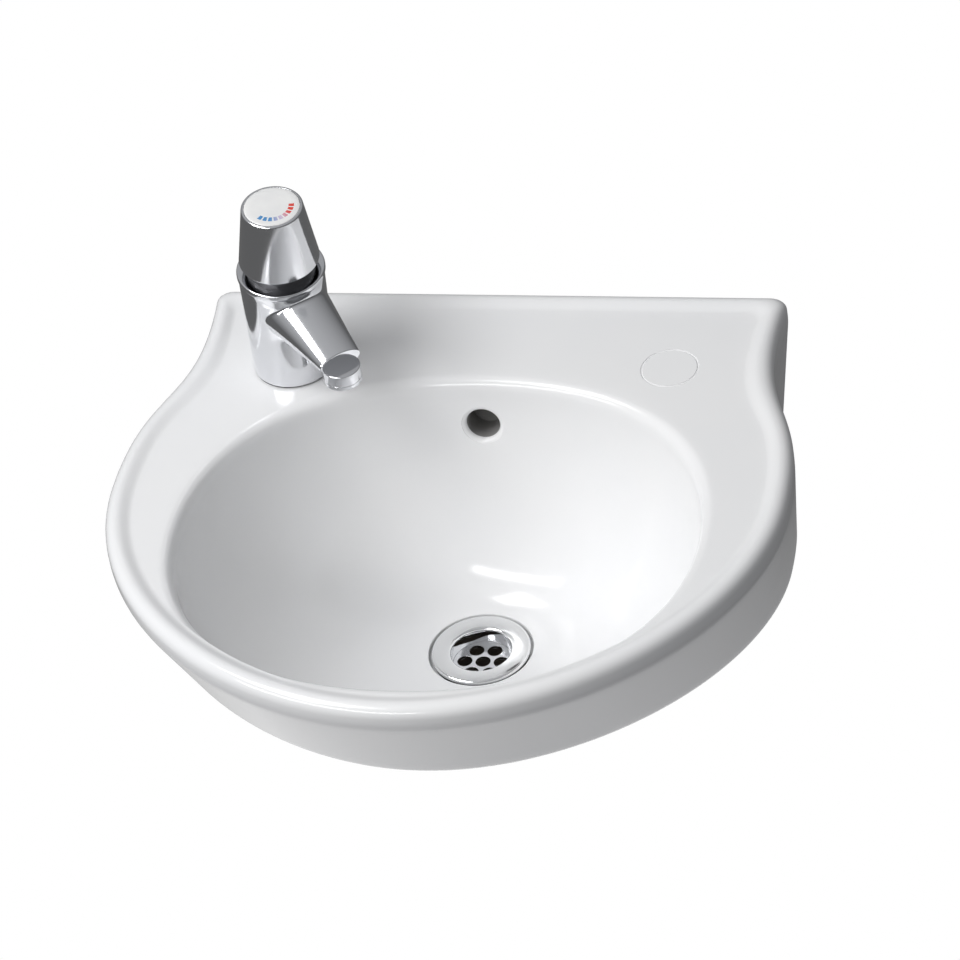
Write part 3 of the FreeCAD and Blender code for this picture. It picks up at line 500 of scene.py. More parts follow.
def drift_group() -> bpy.types.NodeTree:
    """Make the group whose value drifts between two limits over a surface.

    Returns:
        The group's tree, made once.
    """
    name = "drift"
    if name in bpy.data.node_groups:
        return bpy.data.node_groups[name]
    sockets = {
        "Vector": "NodeSocketVector",
        "Scale": "NodeSocketFloat",
        "Low": "NodeSocketFloat",
        "High": "NodeSocketFloat",
    }
    tree, graph = effect_group(name, sockets, "Value", "NodeSocketFloat")
    given = graph.add("NodeGroupInput").outputs
    noise = graph.add(
        "ShaderNodeTexNoise",
        {"Vector": given["Vector"], "Scale": given["Scale"], "Detail": 5.0, "Roughness": 0.6},
    )
    spread = graph.add(
        "ShaderNodeMapRange",
        {"Value": noise.outputs["Fac"], 1: NOISE_LOW, 2: NOISE_HIGH, 3: given["Low"], 4: given["High"]},
    )
    graph.add("NodeGroupOutput", {"Value": spread.outputs["Result"]})
    return tree


def tint_group() -> bpy.types.NodeTree:
    """Make the group that mixes two colours in soft patches.

    Returns:
        The group's tree, made once.
    """
    name = "tint"
    if name in bpy.data.node_groups:
        return bpy.data.node_groups[name]
    sockets = {
        "Vector": "NodeSocketVector",
        "Scale": "NodeSocketFloat",
        "First": "NodeSocketColor",
        "Second": "NodeSocketColor",
    }
    tree, graph = effect_group(name, sockets, "Colour", "NodeSocketColor")
    given = graph.add("NodeGroupInput").outputs
    patch = graph.group(
        drift_group(), {"Vector": given["Vector"], "Scale": given["Scale"], "Low": 0.0, "High": 1.0}
    )
    mix = graph.mix(patch.outputs["Value"], given["First"], given["Second"])
    graph.add("NodeGroupOutput", {"Colour": mix})
    return tree


def ripple_group() -> bpy.types.NodeTree:
    """Make the group that makes a surface's normal waver.

    Returns:
        The group's tree, made once.
    """
    name = "ripple"
    if name in bpy.data.node_groups:
        return bpy.data.node_groups[name]
    sockets = {"Vector": "NodeSocketVector", "Scale": "NodeSocketFloat", "Depth": "NodeSocketFloat"}
    tree, graph = effect_group(name, sockets, "Normal", "NodeSocketVector")
    given = graph.add("NodeGroupInput").outputs
    noise = graph.add(
        "ShaderNodeTexNoise", {"Vector": given["Vector"], "Scale": given["Scale"], "Detail": 2.0}
    )
    bump = graph.add(
        "ShaderNodeBump", {"Height": noise.outputs["Fac"], "Distance": given["Depth"], "Strength": 1.0}
    )
    graph.add("NodeGroupOutput", {"Normal": bump.outputs["Normal"]})
    return tree


@dataclass(frozen=True)
class Finish:
    """A surface finish: two tints, a range of roughness and a fine waver, all drifting over the surface."""

    name: str
    slot: Slot
    first: Colour
    second: Colour
    smooth: float
    rough: float
    metallic: float = 0.0
    patch_scale: float = 14.0
    smudge_scale: float = 30.0
    waver_scale: float = 60.0
    waver_depth: float = 0.00005
    ior: float = 1.5

    def material(self) -> bpy.types.Material:
        """Make the finish's material.

        Returns:
            The material, made once.
        """
        if self.name in bpy.data.materials:
            return bpy.data.materials[self.name]
        material = bpy.data.materials.new(self.name)
        graph = fresh_graph(material)
        graph.add("ShaderNodeOutputMaterial", {"Surface": self.shader(graph).outputs[0]})
        LOG.info("finish %s for slot %s", self.name, self.slot.value)
        return material

    def shader(self, graph: Graph) -> bpy.types.Node:
        """Add the surface shader with its drifting tint, roughness and normal.

        Args:
            graph: the material's graph.

        Returns:
            The shader's node.
        """
        vector = graph.place()
        tint = graph.group(
            tint_group(),
            {
                "Vector": vector,
                "Scale": self.patch_scale,
                "First": (*self.first, 1),
                "Second": (*self.second, 1),
            },
        )
        drift = graph.group(
            drift_group(),
            {"Vector": vector, "Scale": self.smudge_scale, "Low": self.smooth, "High": self.rough},
        )
        ripple = graph.group(
            ripple_group(), {"Vector": vector, "Scale": self.waver_scale, "Depth": self.waver_depth}
        )
        return graph.add(
            "ShaderNodeBsdfPrincipled",
            {
                "Base Color": tint.outputs["Colour"],
                "Roughness": drift.outputs["Value"],
                "Normal": ripple.outputs["Normal"],
                "Metallic": self.metallic,
                "IOR": self.ior,
            },
        )


@dataclass(frozen=True)
class GlazedChina(Finish):
    """White glaze, left bare and matt on the face that stands on the wall."""

    bare: Colour = (0.74, 0.71, 0.66)
    bare_depth: float = 0.0006
    bare_roughness: float = 0.8

    def shader(self, graph: Graph) -> bpy.types.Node:
        """Add the glaze's shader with the unglazed wall face mixed in.

        Args:
            graph: the material's graph.

        Returns:
            The shader's node.
        """
        shader = super().shader(graph)
        axes = graph.add("ShaderNodeSeparateXYZ", {"Vector": graph.place()})
        bare = graph.math("GREATER_THAN", axes.outputs["Y"], -self.bare_depth)
        graph.paint(shader, bare, (*self.bare, 1))
        drift = shader.inputs["Roughness"].links[0].from_socket
        matt = graph.math("MAXIMUM", drift, graph.math("MULTIPLY", bare, self.bare_roughness))
        graph.tree.links.new(matt, shader.inputs["Roughness"])
        return shader


@dataclass(frozen=True)
class IndexPrint(Finish):
    """White plastic with a dashed arc that goes from blue to red, on the cap's own map."""

    cold: Colour = (0.08, 0.27, 0.55)
    pale: Colour = (0.62, 0.52, 0.66)
    hot: Colour = (0.70, 0.07, 0.05)
    cold_end: float = 0.25
    pale_share: float = 0.5
    hot_start: float = 0.72
    arc_radius: float = 11.4
    arc_width: float = 3.2
    half_sweep: float = 70.0
    dashes: float = 9.0
    dash_share: float = 0.72

    def shader(self, graph: Graph) -> bpy.types.Node:
        """Add the plastic's shader with the printed arc over it.

        Args:
            graph: the material's graph.

        Returns:
            The shader's node.
        """
        shader = super().shader(graph)
        place = graph.add("ShaderNodeUVMap", uv_map=IndexCap.MAP_NAME)
        axes = graph.add("ShaderNodeSeparateXYZ", {"Vector": place.outputs["UV"]})
        across = graph.math("SUBTRACT", axes.outputs["X"], 0.5)
        along = graph.math("SUBTRACT", axes.outputs["Y"], 0.5)
        squares = graph.math("ADD", graph.math("POWER", across, 2), graph.math("POWER", along, 2))
        radius = graph.math("SQRT", squares)
        size = IndexCap.MAP_SIZE
        off_line = graph.math("ABSOLUTE", graph.math("SUBTRACT", radius, self.arc_radius / size))
        on_line = graph.math("LESS_THAN", off_line, self.arc_width / 2 / size)
        angle = graph.math("ARCTAN2", across, graph.math("MULTIPLY", along, -1.0))
        turn = graph.math("DIVIDE", angle, math.radians(self.half_sweep))
        in_sweep = graph.math("LESS_THAN", graph.math("ABSOLUTE", turn), 1.0)
        share = graph.math("ADD", graph.math("MULTIPLY", turn, 0.5), 0.5)
        beat = graph.math("FRACT", graph.math("MULTIPLY", share, self.dashes))
        dash = graph.math("LESS_THAN", beat, self.dash_share)
        mask = graph.math("MULTIPLY", graph.math("MULTIPLY", on_line, in_sweep), dash)
        ramp = graph.add("ShaderNodeValToRGB", {"Fac": share})
        stops = ramp.color_ramp.elements
        stops[0].color = (*self.cold, 1)
        stops[1].color = (*self.hot, 1)
        stops[0].position = self.cold_end
        stops[1].position = self.hot_start
        stops.new(self.pale_share).color = (*self.pale, 1)
        graph.paint(shader, mask, ramp.outputs["Color"])
        return shader


CHINA = GlazedChina(
    "glazed china",
    Slot.CHINA,
    first=(0.83, 0.835, 0.845),
    second=(0.86, 0.86, 0.86),
    smooth=0.10,
    rough=0.16,
    patch_scale=5.0,
    smudge_scale=9.0,
    waver_scale=18.0,
    waver_depth=0.0002,
    ior=1.52,
)
# Painted shade: dark grey laid on the overflow's deeper hollow, where shade falls
OVERFLOW_PAINTED_SHADE = Finish(
    "painted shade in overflow",
    Slot.CHINA,
    first=(0.17, 0.165, 0.16),
    second=(0.24, 0.235, 0.23),
    smooth=0.6,
    rough=0.85,
    patch_scale=40.0,
    smudge_scale=60.0,
)
# Painted shade: chrome's tint held darker than plated chrome, standing for the tap's dark reflections
CHROME = Finish(
    "chrome",
    Slot.CHROME,
    first=(0.36, 0.365, 0.38),
    second=(0.43, 0.435, 0.445),
    smooth=0.03,
    rough=0.09,
    metallic=1.0,
    smudge_scale=55.0,
    waver_scale=90.0,
    waver_depth=0.00002,
)
# Painted shade: chrome darkened nearly to black for the collar's neck in the shade under the knob
NECK_PAINTED_SHADE = Finish(
    "chrome neck in painted shade",
    Slot.CHROME,
    first=(0.08, 0.08, 0.085),
    second=(0.13, 0.13, 0.135),
    smooth=0.16,
    rough=0.26,
    metallic=1.0,
    smudge_scale=60.0,
    waver_scale=90.0,
    waver_depth=0.00002,
)
# Painted reflection: a lightened copy of chrome for the waste fitting, standing for the white bowl it mirrors
PAINTED_REFLECTION_PLATE = Finish(
    "chrome with painted reflection",
    Slot.CHROME,
    first=(0.84, 0.845, 0.85),
    second=(0.90, 0.905, 0.91),
    smooth=0.06,
    rough=0.12,
    metallic=1.0,
    smudge_scale=55.0,
    waver_scale=90.0,
    waver_depth=0.00002,
)
BRASS = Finish(
    "brass",
    Slot.BRASS,
    first=(0.62, 0.45, 0.18),
    second=(0.74, 0.56, 0.25),
    smooth=0.22,
    rough=0.38,
    metallic=1.0,
    patch_scale=45.0,
    smudge_scale=120.0,
)
# Dull brass, darkened further with painted shade for the inside of the tail under the grid
TAIL_BRASS_PAINTED_SHADE = Finish(
    "dull brass with painted shade",
    Slot.BRASS,
    first=(0.030, 0.022, 0.014),
    second=(0.060, 0.045, 0.028),
    smooth=0.55,
    rough=0.8,
    patch_scale=60.0,
    smudge_scale=90.0,
)
STEEL = Finish(
    "zinc plated steel",
    Slot.STEEL,
    first=(0.52, 0.53, 0.54),
    second=(0.64, 0.65, 0.65),
    smooth=0.25,
    rough=0.42,
    metallic=1.0,
    patch_scale=60.0,
    smudge_scale=160.0,
)
RUBBER = Finish(
    "black rubber",
    Slot.RUBBER,
    first=(0.016, 0.016, 0.017),
    second=(0.030, 0.030, 0.031),
    smooth=0.55,
    rough=0.75,
    patch_scale=70.0,
    waver_scale=400.0,
    waver_depth=0.0001,
)
WHITE_PLASTIC = IndexPrint(
    "white plastic",
    Slot.WHITE_PLASTIC,
    first=(0.80, 0.80, 0.80),
    second=(0.85, 0.85, 0.84),
    smooth=0.22,
    rough=0.34,
    patch_scale=90.0,
    waver_scale=300.0,
    waver_depth=0.00002,
)
GREY_PLASTIC = Finish(
    "grey plastic",
    Slot.GREY_PLASTIC,
    first=(0.30, 0.31, 0.32),
    second=(0.38, 0.39, 0.40),
    smooth=0.35,
    rough=0.5,
    patch_scale=80.0,
    waver_scale=300.0,
    waver_depth=0.00003,
)
DISC_CERAMIC = Finish(
    "disc ceramic",
    Slot.DISC_CERAMIC,
    first=(0.70, 0.68, 0.62),
    second=(0.78, 0.76, 0.70),
    smooth=0.12,
    rough=0.22,
    patch_scale=120.0,
    waver_scale=500.0,
    waver_depth=0.00001,
)
FINISHES = (CHINA, CHROME, BRASS, STEEL, RUBBER, WHITE_PLASTIC, GREY_PLASTIC, DISC_CERAMIC)


# Pieces


def add_piece(
    shape: bmesh.types.BMesh, name: str, finish: Finish, body: Body, nodes: Sequence[str] = ()
) -> bpy.types.Object:
    """Make a finished piece of the model from a shape in mm.

    Args:
        shape: the shape in the model's frame, which is used up.
        name: the piece's name.
        finish: its finish.
        body: the body it rides on.
        nodes: the CAD nodes it stands for.

    Returns:
        The new object.
    """
    bmesh.ops.scale(shape, vec=(METRES, METRES, METRES), verts=shape.verts[:])
    mesh = bpy.data.meshes.new(name)
    shape.to_mesh(mesh)
    shape.free()
    mesh.shade_smooth()
    mesh.set_sharp_from_angle(angle=math.radians(SHARP_DEGREES))
    mesh.materials.append(finish.material())
    piece = bpy.data.objects.new(name, mesh)
    bpy.context.scene.collection.objects.link(piece)
    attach(piece, body.value)
    if nodes:
        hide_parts(*nodes)
    LOG.info("piece %s: %d faces, rides on %s", name, len(mesh.polygons), body.value)
    return piece


def line_inside(piece: bpy.types.Object, finish: Finish, inside: Callable[[Vector], bool]) -> None:
    """Give some faces of a piece a second finish.

    Args:
        piece: the piece.
        finish: the second finish.
        inside: tells whether a face's centre, in mm, is in the region that gets it.
    """
    piece.data.materials.append(finish.material())
    for face in piece.data.polygons:
        if inside(face.center / METRES):
            face.material_index = 1


def soften(piece: bpy.types.Object, width: float, segments: int = 3, degrees: float = 40.0) -> None:
    """Round a piece's sharp edges with a Bevel modifier.

    Args:
        piece: the piece.
        width: the bevel's width in mm.
        segments: how many steps round an edge.
        degrees: the angle from which an edge is sharp.
    """
    step = piece.modifiers.new("soften", "BEVEL")
    step.width = width * METRES
    step.segments = segments
    step.limit_method = "ANGLE"
    step.angle_limit = math.radians(degrees)


def subdivide(piece: bpy.types.Object, levels: int) -> None:
    """Round a piece's cage with a Subdivision Surface modifier.

    Args:
        piece: the piece.
        levels: how often its faces are divided.
    """
    step = piece.modifiers.new("subdivide", "SUBSURF")
    step.levels = levels
    step.render_levels = levels


def on_level(spot: Pair, z: float) -> Vector:
    """Return the point of a level at a distance from the middle and from the wall, in mm."""
    return Vector((spot[0], -spot[1], z))


@dataclass(frozen=True)
class Place:
    """One of the places round the basin at which every ring of the casting has a vertex.

    The segment and share give a point of the outline, from the back's middle to the front's middle on one side.
    The end and turn give the point of the bowl's oval that lies in the same direction.
    """

    side: int
    segment: int
    share: float
    end: int
    turn: float


@dataclass
class BasinCasting:
    """The ceramic casting with its deck, bowl, skirt and back panel. Sizes in mm."""

    width: float = 400.0
    depth: float = 370.0
    back_width: float = 339.0
    widest: float = 181.0
    corner: float = 8.0
    back_flare: float = 4.0
    back_lean: float = 5.0
    neck_reach: float = 96.0
    flare_reach: float = 90.0
    front_fullness: float = 0.52
    wall: float = 9.0
    border: float = 7.5
    dish_slope: float = 8.5
    rim_z: float = 60.0
    under_z: float = 45.0
    rim_radius: float = 7.0
    bowl_edge: float = 7.0
    skirt_z: float = -30.0
    skirt_edge: float = 8.0
    lip: tuple[Pair, ...] = ((-0.6, 0.0), (-0.3, 0.15), (-0.1, 0.4), (0.0, 0.8))
    straight_z: float = 46.0
    bend: float = 4.0
    back_z: float = -58.0
    panel_foot: float = 42.0
    sweep: float = 105.0
    back_taper: float = 15.0
    side_taper: float = 15.0
    front_taper: float = 62.0
    widest_drift: float = 44.0
    fullness_loss: float = 0.03
    solid_front: float = 300.0
    bowl_width: float = 305.0
    bowl_length: float = 264.0
    bowl_centre: float = 214.0
    bowl_fullness: float = 0.62
    circle_fullness: float = 0.5523
    bowl_curve: float = 1.8
    floor_z: float = -78.0
    floor_radius: float = 32.2
    seat_z: float = -81.8
    seat_radius: float = 31.2
    waste_hole: float = 23.0
    boss_radius: float = 35.0
    boss_ease: float = 1.2
    inner_fillet: float = 5.0
    joint: float = 0.3
    casing_half: float = 28.0
    casing_depth: float = 17.0
    casing_ease: float = 8.0
    casing_from_wall: float = 16.0
    casing_run: float = 60.0
    casing_lead: float = 14.0
    overflow_z: float = 26.0
    overflow_radius: float = 10.0
    overflow_run: float = 20.0
    overflow_tilt: float = 7.0
    overflow_roll: tuple[Pair, ...] = ((0.0, -2.6), (0.4, -1.3), (1.3, -0.35), (2.6, 0.0), (3.4, 4.0))
    overflow_lit: float = 7.0
    overflow_spread: float = 3.0
    tap_hole: float = 17.5
    spare_top: float = 52.5
    groove_radius: float = 16.7
    groove_wire: float = 0.8
    fixing_side: float = 100.0
    fixing_radius: float = 7.0
    segment_steps: tuple[int, ...] = (16, 8, 46, 58)
    bowl_steps: int = 40
    edge_steps: int = 8
    apron_steps: int = 5
    wall_steps: int = 12
    lip_steps: int = 7
    inner_steps: int = 8
    fillet_steps: int = 5
    under_steps: int = 30

    @property
    def outside_top(self) -> float:
        """Return the level at which the curve of the bowl's outside starts."""
        return DECK_Z - (self.rim_z - DECK_Z)

    @property
    def outside_drop(self) -> float:
        """Return how far the curve of the bowl's outside goes down."""
        return self.outside_top - self.floor_z + self.wall

    def outline(self, place: Place, inset: float, back: float, z: float) -> Pair:
        """Return the outline's point at a place.

        Args:
            place: where round the basin.
            inset: how far the outline is drawn in.
            back: how far its straight side stands from the wall.
            z: the level, on which the draft of the walls depends.

        Returns:
            The point's distance from the middle and from the wall.
        """
        draft = self.draft(z)
        half_back = self.back_width / 2 - inset - self.back_taper * draft
        half = self.width / 2 - inset - self.side_taper * draft
        front = self.depth - inset - self.front_taper * draft
        widest = self.widest - self.widest_drift * draft
        fullness = self.front_fullness - self.fullness_loss * draft
        middle = half_back + self.back_flare - self.corner
        lean = math.radians(self.back_lean)
        neck = (middle + self.corner * math.cos(lean), back + self.corner * (1 + math.sin(lean)))
        if place.segment == 0:
            across, along = place.share * middle, back
        elif place.segment == 1:
            angle = lerp(-math.pi / 2, lean, place.share)
            across = middle + self.corner * math.cos(angle)
            along = back + self.corner * (1 + math.sin(angle))
        elif place.segment == 2:
            pull = (neck[0] - self.neck_reach * math.sin(lean), neck[1] + self.neck_reach * math.cos(lean))
            across = cubic((neck[0], pull[0], half, half), place.share)
            along = cubic((neck[1], pull[1], widest - self.flare_reach, widest), place.share)
        else:
            across = cubic((half, half, fullness * half, 0.0), place.share)
            along = cubic((widest, widest + fullness * (front - widest), front, front), place.share)
        return place.side * across, along

    def places(self) -> list[Place]:
        """Lay out the places that every ring of the casting has.

        Returns:
            The places, once round the basin.
        """
        half = []
        for segment, count in enumerate(self.segment_steps):
            half += [(segment, step / count) for step in range(count)]
        half.append((len(self.segment_steps) - 1, 1.0))
        right = [self.aimed(1, segment, share) for segment, share in half]
        left = [self.aimed(-1, segment, share) for segment, share in half[-2:0:-1]]
        return right + left

    def aimed(self, side: int, segment: int, share: float) -> Place:
        """Find the bowl's point in the same direction from the bowl's centre as a point of the outline.

        Args:
            side: one on the right and less one on the left.
            segment: the outline's segment.
            share: how far along the segment.

        Returns:
            The place of both points.
        """
        inset = self.border + self.dish_slope
        across, along = self.outline(Place(1, segment, share, 1, 0.0), inset, inset, self.rim_z)
        angle = math.atan2(abs(along - self.bowl_centre), across)

        def off(turn: float) -> float:
            """Return how far the oval's direction at a turn is past the wanted one."""
            x, y = oval_quarter(turn, self.bowl_width / 2, self.bowl_length / 2, self.bowl_fullness)
            return math.atan2(y, x) - angle

        end = 1 if along > self.bowl_centre else -1
        return Place(side, segment, share, end, solve(off, 0.0, 1.0))

    def oval(self, place: Place, share: float, grow: float) -> Pair:
        """Return the bowl's point at a place.

        Args:
            place: where round the basin.
            share: the share of the bowl's rim size that is left.
            grow: how far the oval is grown.

        Returns:
            The point's distance from the middle and from the wall.
        """
        centre = lerp(WASTE_FROM_WALL, self.bowl_centre, share)
        wide = lerp(self.floor_radius, self.bowl_width / 2, share) + grow
        long = lerp(self.floor_radius, self.bowl_length / 2, share) + grow
        full = lerp(self.circle_fullness, self.bowl_fullness, share)
        across, along = oval_quarter(place.turn, wide, long, full)
        return place.side * across, centre + place.end * along

    def share_at(self, depth: float) -> float:
        """Return the share of the bowl's rim size that is left at a share of its depth."""
        return (1 - depth**self.bowl_curve) ** (1 / self.bowl_curve)

    def curve(self, angle: float) -> Pair:
        """Return the shares of the bowl's depth and of its rim size at an angle along its curve."""
        power = 2 / self.bowl_curve
        return math.cos(angle) ** power, math.sin(angle) ** power

    def foot(self, from_wall: float) -> float:
        """Find the level of the skirt's lower edge.

        Args:
            from_wall: the distance from the wall.

        Returns:
            The level there.
        """
        middle = self.panel_foot + self.sweep / 2
        run = (self.panel_foot, middle, middle, self.panel_foot + self.sweep)
        if from_wall <= run[0]:
            return self.back_z
        if from_wall >= run[3]:
            return self.skirt_z
        share = solve(lambda guess: cubic(run, guess) - from_wall, 0.0, 1.0)
        return cubic((self.back_z, self.back_z, self.skirt_z, self.skirt_z), share)

    def draft(self, z: float) -> float:
        """Return the share of the walls' tapers that is reached at a level.

        Args:
            z: the level.

        Returns:
            The share, eased where the draft starts.
        """
        below = self.straight_z - z
        if abs(below) < self.bend:
            below = (below + self.bend) ** 2 / (4 * self.bend)
        return max(0.0, below) / (self.straight_z - self.back_z)

    def off_bowl(self, place: Place, z: float) -> Pair:
        """Return the point just off the bowl's outside.

        Args:
            place: where round the basin.
            z: the level.

        Returns:
            The point's distance from the middle and from the wall.
        """
        lift = max(0.0, z - self.under_z + self.inner_fillet)
        grow = self.wall + self.inner_fillet - math.sqrt(max(0.0, self.inner_fillet**2 - lift**2))
        share = 1.0 if lift > 0 else self.share_at((self.outside_top - z) / self.outside_drop)
        return self.oval(place, share, grow + self.joint)

    def clear(self, place: Place, spot: Pair, z: float) -> Pair:
        """Move a point of the skirt's inner wall off the bowl.

        Args:
            place: where round the basin.
            spot: the point's distance from the middle and from the wall.
            z: the level.

        Returns:
            The point, moved where the front is solid or the bowl is in its way.
        """
        if place.end < 0:
            return spot
        near = self.off_bowl(place, z)
        reach = math.hypot(spot[0], spot[1] - self.bowl_centre)
        if spot[1] > self.solid_front or reach < math.hypot(near[0], near[1] - self.bowl_centre):
            return near
        return spot

    def deck_spot(self, place: Place, share: float) -> Pair:
        """Return the deck's point at a share of the way from the bowl's edge to the raised border.

        Args:
            place: where round the basin.
            share: the share of the way.

        Returns:
            The point's distance from the middle and from the wall.
        """
        inset = self.border + self.dish_slope
        near = self.oval(place, 1.0, self.bowl_edge)
        far = self.outline(place, inset, inset, self.rim_z)
        return lerp(near[0], far[0], share), lerp(near[1], far[1], share)

    def level_oval(self, places: Sequence[Place], share: float, grow: float, z: float) -> list[Vector]:
        """Return one level ring of the bowl."""
        return [on_level(self.oval(place, share, grow), z) for place in places]

    def round_ring(self, places: Sequence[Place], radius: float, z: float) -> list[Vector]:
        """Return one level ring round the waste hole."""
        return self.level_oval(places, 0.0, radius - self.floor_radius, z)

    def level_outline(self, places: Sequence[Place], inset: float, z: float) -> list[Vector]:
        """Return one level ring of the outline, drawn in on all sides."""
        return [on_level(self.outline(place, inset, inset, z), z) for place in places]

    def inner_ring(self, places: Sequence[Place], inset: float, z: float) -> list[Vector]:
        """Return one level ring of the skirt's inner wall."""
        return [on_level(self.clear(place, self.outline(place, inset, inset, z), z), z) for place in places]

    def wall_ring(
        self,
        places: Sequence[Place],
        inset: float,
        back: float,
        lift: float,
        rise: float = 0.0,
        top: float = 0.0,
    ) -> list[Vector]:
        """Return a ring of the skirt's outer wall, lower edge or inner wall.

        Args:
            places: the places round the basin.
            inset: how far the ring is drawn in.
            back: how far its straight side stands from the wall.
            lift: how far above the skirt's lower edge the way to top begins.
            rise: the ring's share of that way.
            top: the level that a rise of one reaches.

        Returns:
            The ring's points.
        """
        ring = []
        for place in places:
            _, from_wall = self.outline(place, inset, back, self.rim_z)
            z = lerp(self.foot(from_wall) + lift, top, rise)
            spot = self.outline(place, inset, back, z)
            if inset > self.skirt_edge:
                spot = self.clear(place, spot, z)
            ring.append(on_level(spot, z))
        return ring

    def outside(self, places: Sequence[Place], share: float, grow: float, z: float) -> list[Vector]:
        """Return a level ring of the bowl's outside, with the overflow channel's casing behind it.

        Args:
            places: the places round the basin.
            share: the share of the bowl's rim size that is left.
            grow: how far the oval is grown.
            z: the level.

        Returns:
            The ring's points.
        """
        lower = smooth((self.under_z - z) / self.casing_lead)
        ring = []
        for place in places:
            across, along = self.oval(place, share, grow)
            if place.end < 0:
                edge = (abs(across) - self.casing_half + self.casing_ease / 2) / self.casing_ease
                fade = smooth((along - self.casing_from_wall) / self.casing_run)
                along -= self.casing_depth * (1.0 - smooth(edge)) * fade * lower
            ring.append(on_level((across, along), z))
        return ring

    def inner_rings(self, places: Sequence[Place]) -> list[list[Vector]]:
        """Draw the rings from the waste hole up the bowl to the deck.

        Args:
            places: the places round the basin.

        Returns:
            The rings in order.
        """
        seat = (
            (self.waste_hole, self.seat_z),
            (self.seat_radius, self.seat_z),
            (self.seat_radius, self.floor_z - 0.9),
            (self.seat_radius + 0.3, self.floor_z - 0.2),
        )
        rings = [self.round_ring(places, radius, z) for radius, z in seat]
        drop = DECK_Z - self.floor_z
        last = math.acos((self.bowl_edge / drop) ** (self.bowl_curve / 2))
        for step in range(self.bowl_steps + 1):
            depth, share = self.curve(last * step / self.bowl_steps)
            rings.append(self.level_oval(places, share, 0.0, DECK_Z - drop * depth))
        for out, down in quarter_round(self.edge_steps):
            rings.append(self.level_oval(places, 1.0, self.bowl_edge * out, DECK_Z - self.bowl_edge * down))
        return rings

    def deck_rings(self, places: Sequence[Place]) -> list[list[Vector]]:
        """Draw the rings from the bowl's edge over the deck and the raised border to the top of the skirt.

        Args:
            places: the places round the basin.

        Returns:
            The rings in order.
        """
        rings = []
        shares = [step / self.edge_steps for step in range(1, self.edge_steps + 1)]
        for share in shares:
            rings.append([on_level(self.deck_spot(place, share), DECK_Z) for place in places])
        for share in shares:
            inset = lerp(self.border + self.dish_slope, self.border, share)
            rings.append(self.level_outline(places, inset, lerp(DECK_Z, self.rim_z, smooth(share))))
        for down, inward in quarter_round(self.edge_steps, first=0):
            z = self.rim_z - self.rim_radius * down
            rings.append(self.level_outline(places, self.rim_radius * inward, z))
        return rings

    def skirt_rings(self, places: Sequence[Place]) -> list[list[Vector]]:
        """Draw the rings down the skirt, round its lower edge and up its inner wall.

        Args:
            places: the places round the basin.

        Returns:
            The rings in order.
        """
        rings = []
        edge = self.skirt_edge
        straight = self.straight_z - self.bend
        for step in range(1, self.apron_steps + 1):
            z = lerp(self.rim_z - self.rim_radius, straight, step / self.apron_steps)
            rings.append(self.level_outline(places, 0.0, z))
        for step in reversed(range(self.wall_steps)):
            rings.append(self.wall_ring(places, 0.0, 0.0, edge, step / self.wall_steps, straight))
        for inward, up in quarter_round(self.lip_steps):
            rings.append(self.wall_ring(places, edge * inward, 0.0, edge * up))
        for off_wall, up in self.lip:
            inset = self.wall + off_wall
            rings.append(self.wall_ring(places, inset, inset, up))
        inner_top = self.under_z - self.inner_fillet
        for step in range(self.inner_steps + 1):
            rise = step / self.inner_steps
            rings.append(self.wall_ring(places, self.wall, self.wall, edge, rise, inner_top))
        for inward, down in quarter_round(self.fillet_steps):
            inset = self.wall + self.inner_fillet * inward
            rings.append(self.inner_ring(places, inset, self.under_z - self.inner_fillet * down))
        return rings

    def under_rings(self, places: Sequence[Place]) -> list[list[Vector]]:
        """Draw the rings from the deck's underside down the bowl's outside to the waste boss and its hole.

        Args:
            places: the places round the basin.

        Returns:
            The rings in order.
        """
        rings = []
        fillet = self.inner_fillet
        for down, out in quarter_round(self.fillet_steps, first=0):
            rings.append(self.outside(places, 1.0, self.wall + fillet * out, self.under_z - fillet * down))
        top = (self.outside_top - self.under_z + fillet) / self.outside_drop
        first = math.acos(top ** (self.bowl_curve / 2))
        for step in range(1, self.under_steps + 1):
            depth, share = self.curve(first * (1 - step / self.under_steps))
            rings.append(self.outside(places, share, self.wall, self.outside_top - self.outside_drop * depth))
        base = self.floor_z - self.wall
        boss = (
            (self.boss_radius + 2.5, base - 0.2),
            (self.boss_radius + 0.8, base - 1.2),
            (self.boss_radius, base - 4.0),
            (self.boss_radius, BOSS_Z + self.boss_ease),
            (self.boss_radius - self.boss_ease, BOSS_Z),
            (self.waste_hole, BOSS_Z),
            (self.waste_hole, self.seat_z),
        )
        rings += [self.round_ring(places, radius, z) for radius, z in boss]
        return rings

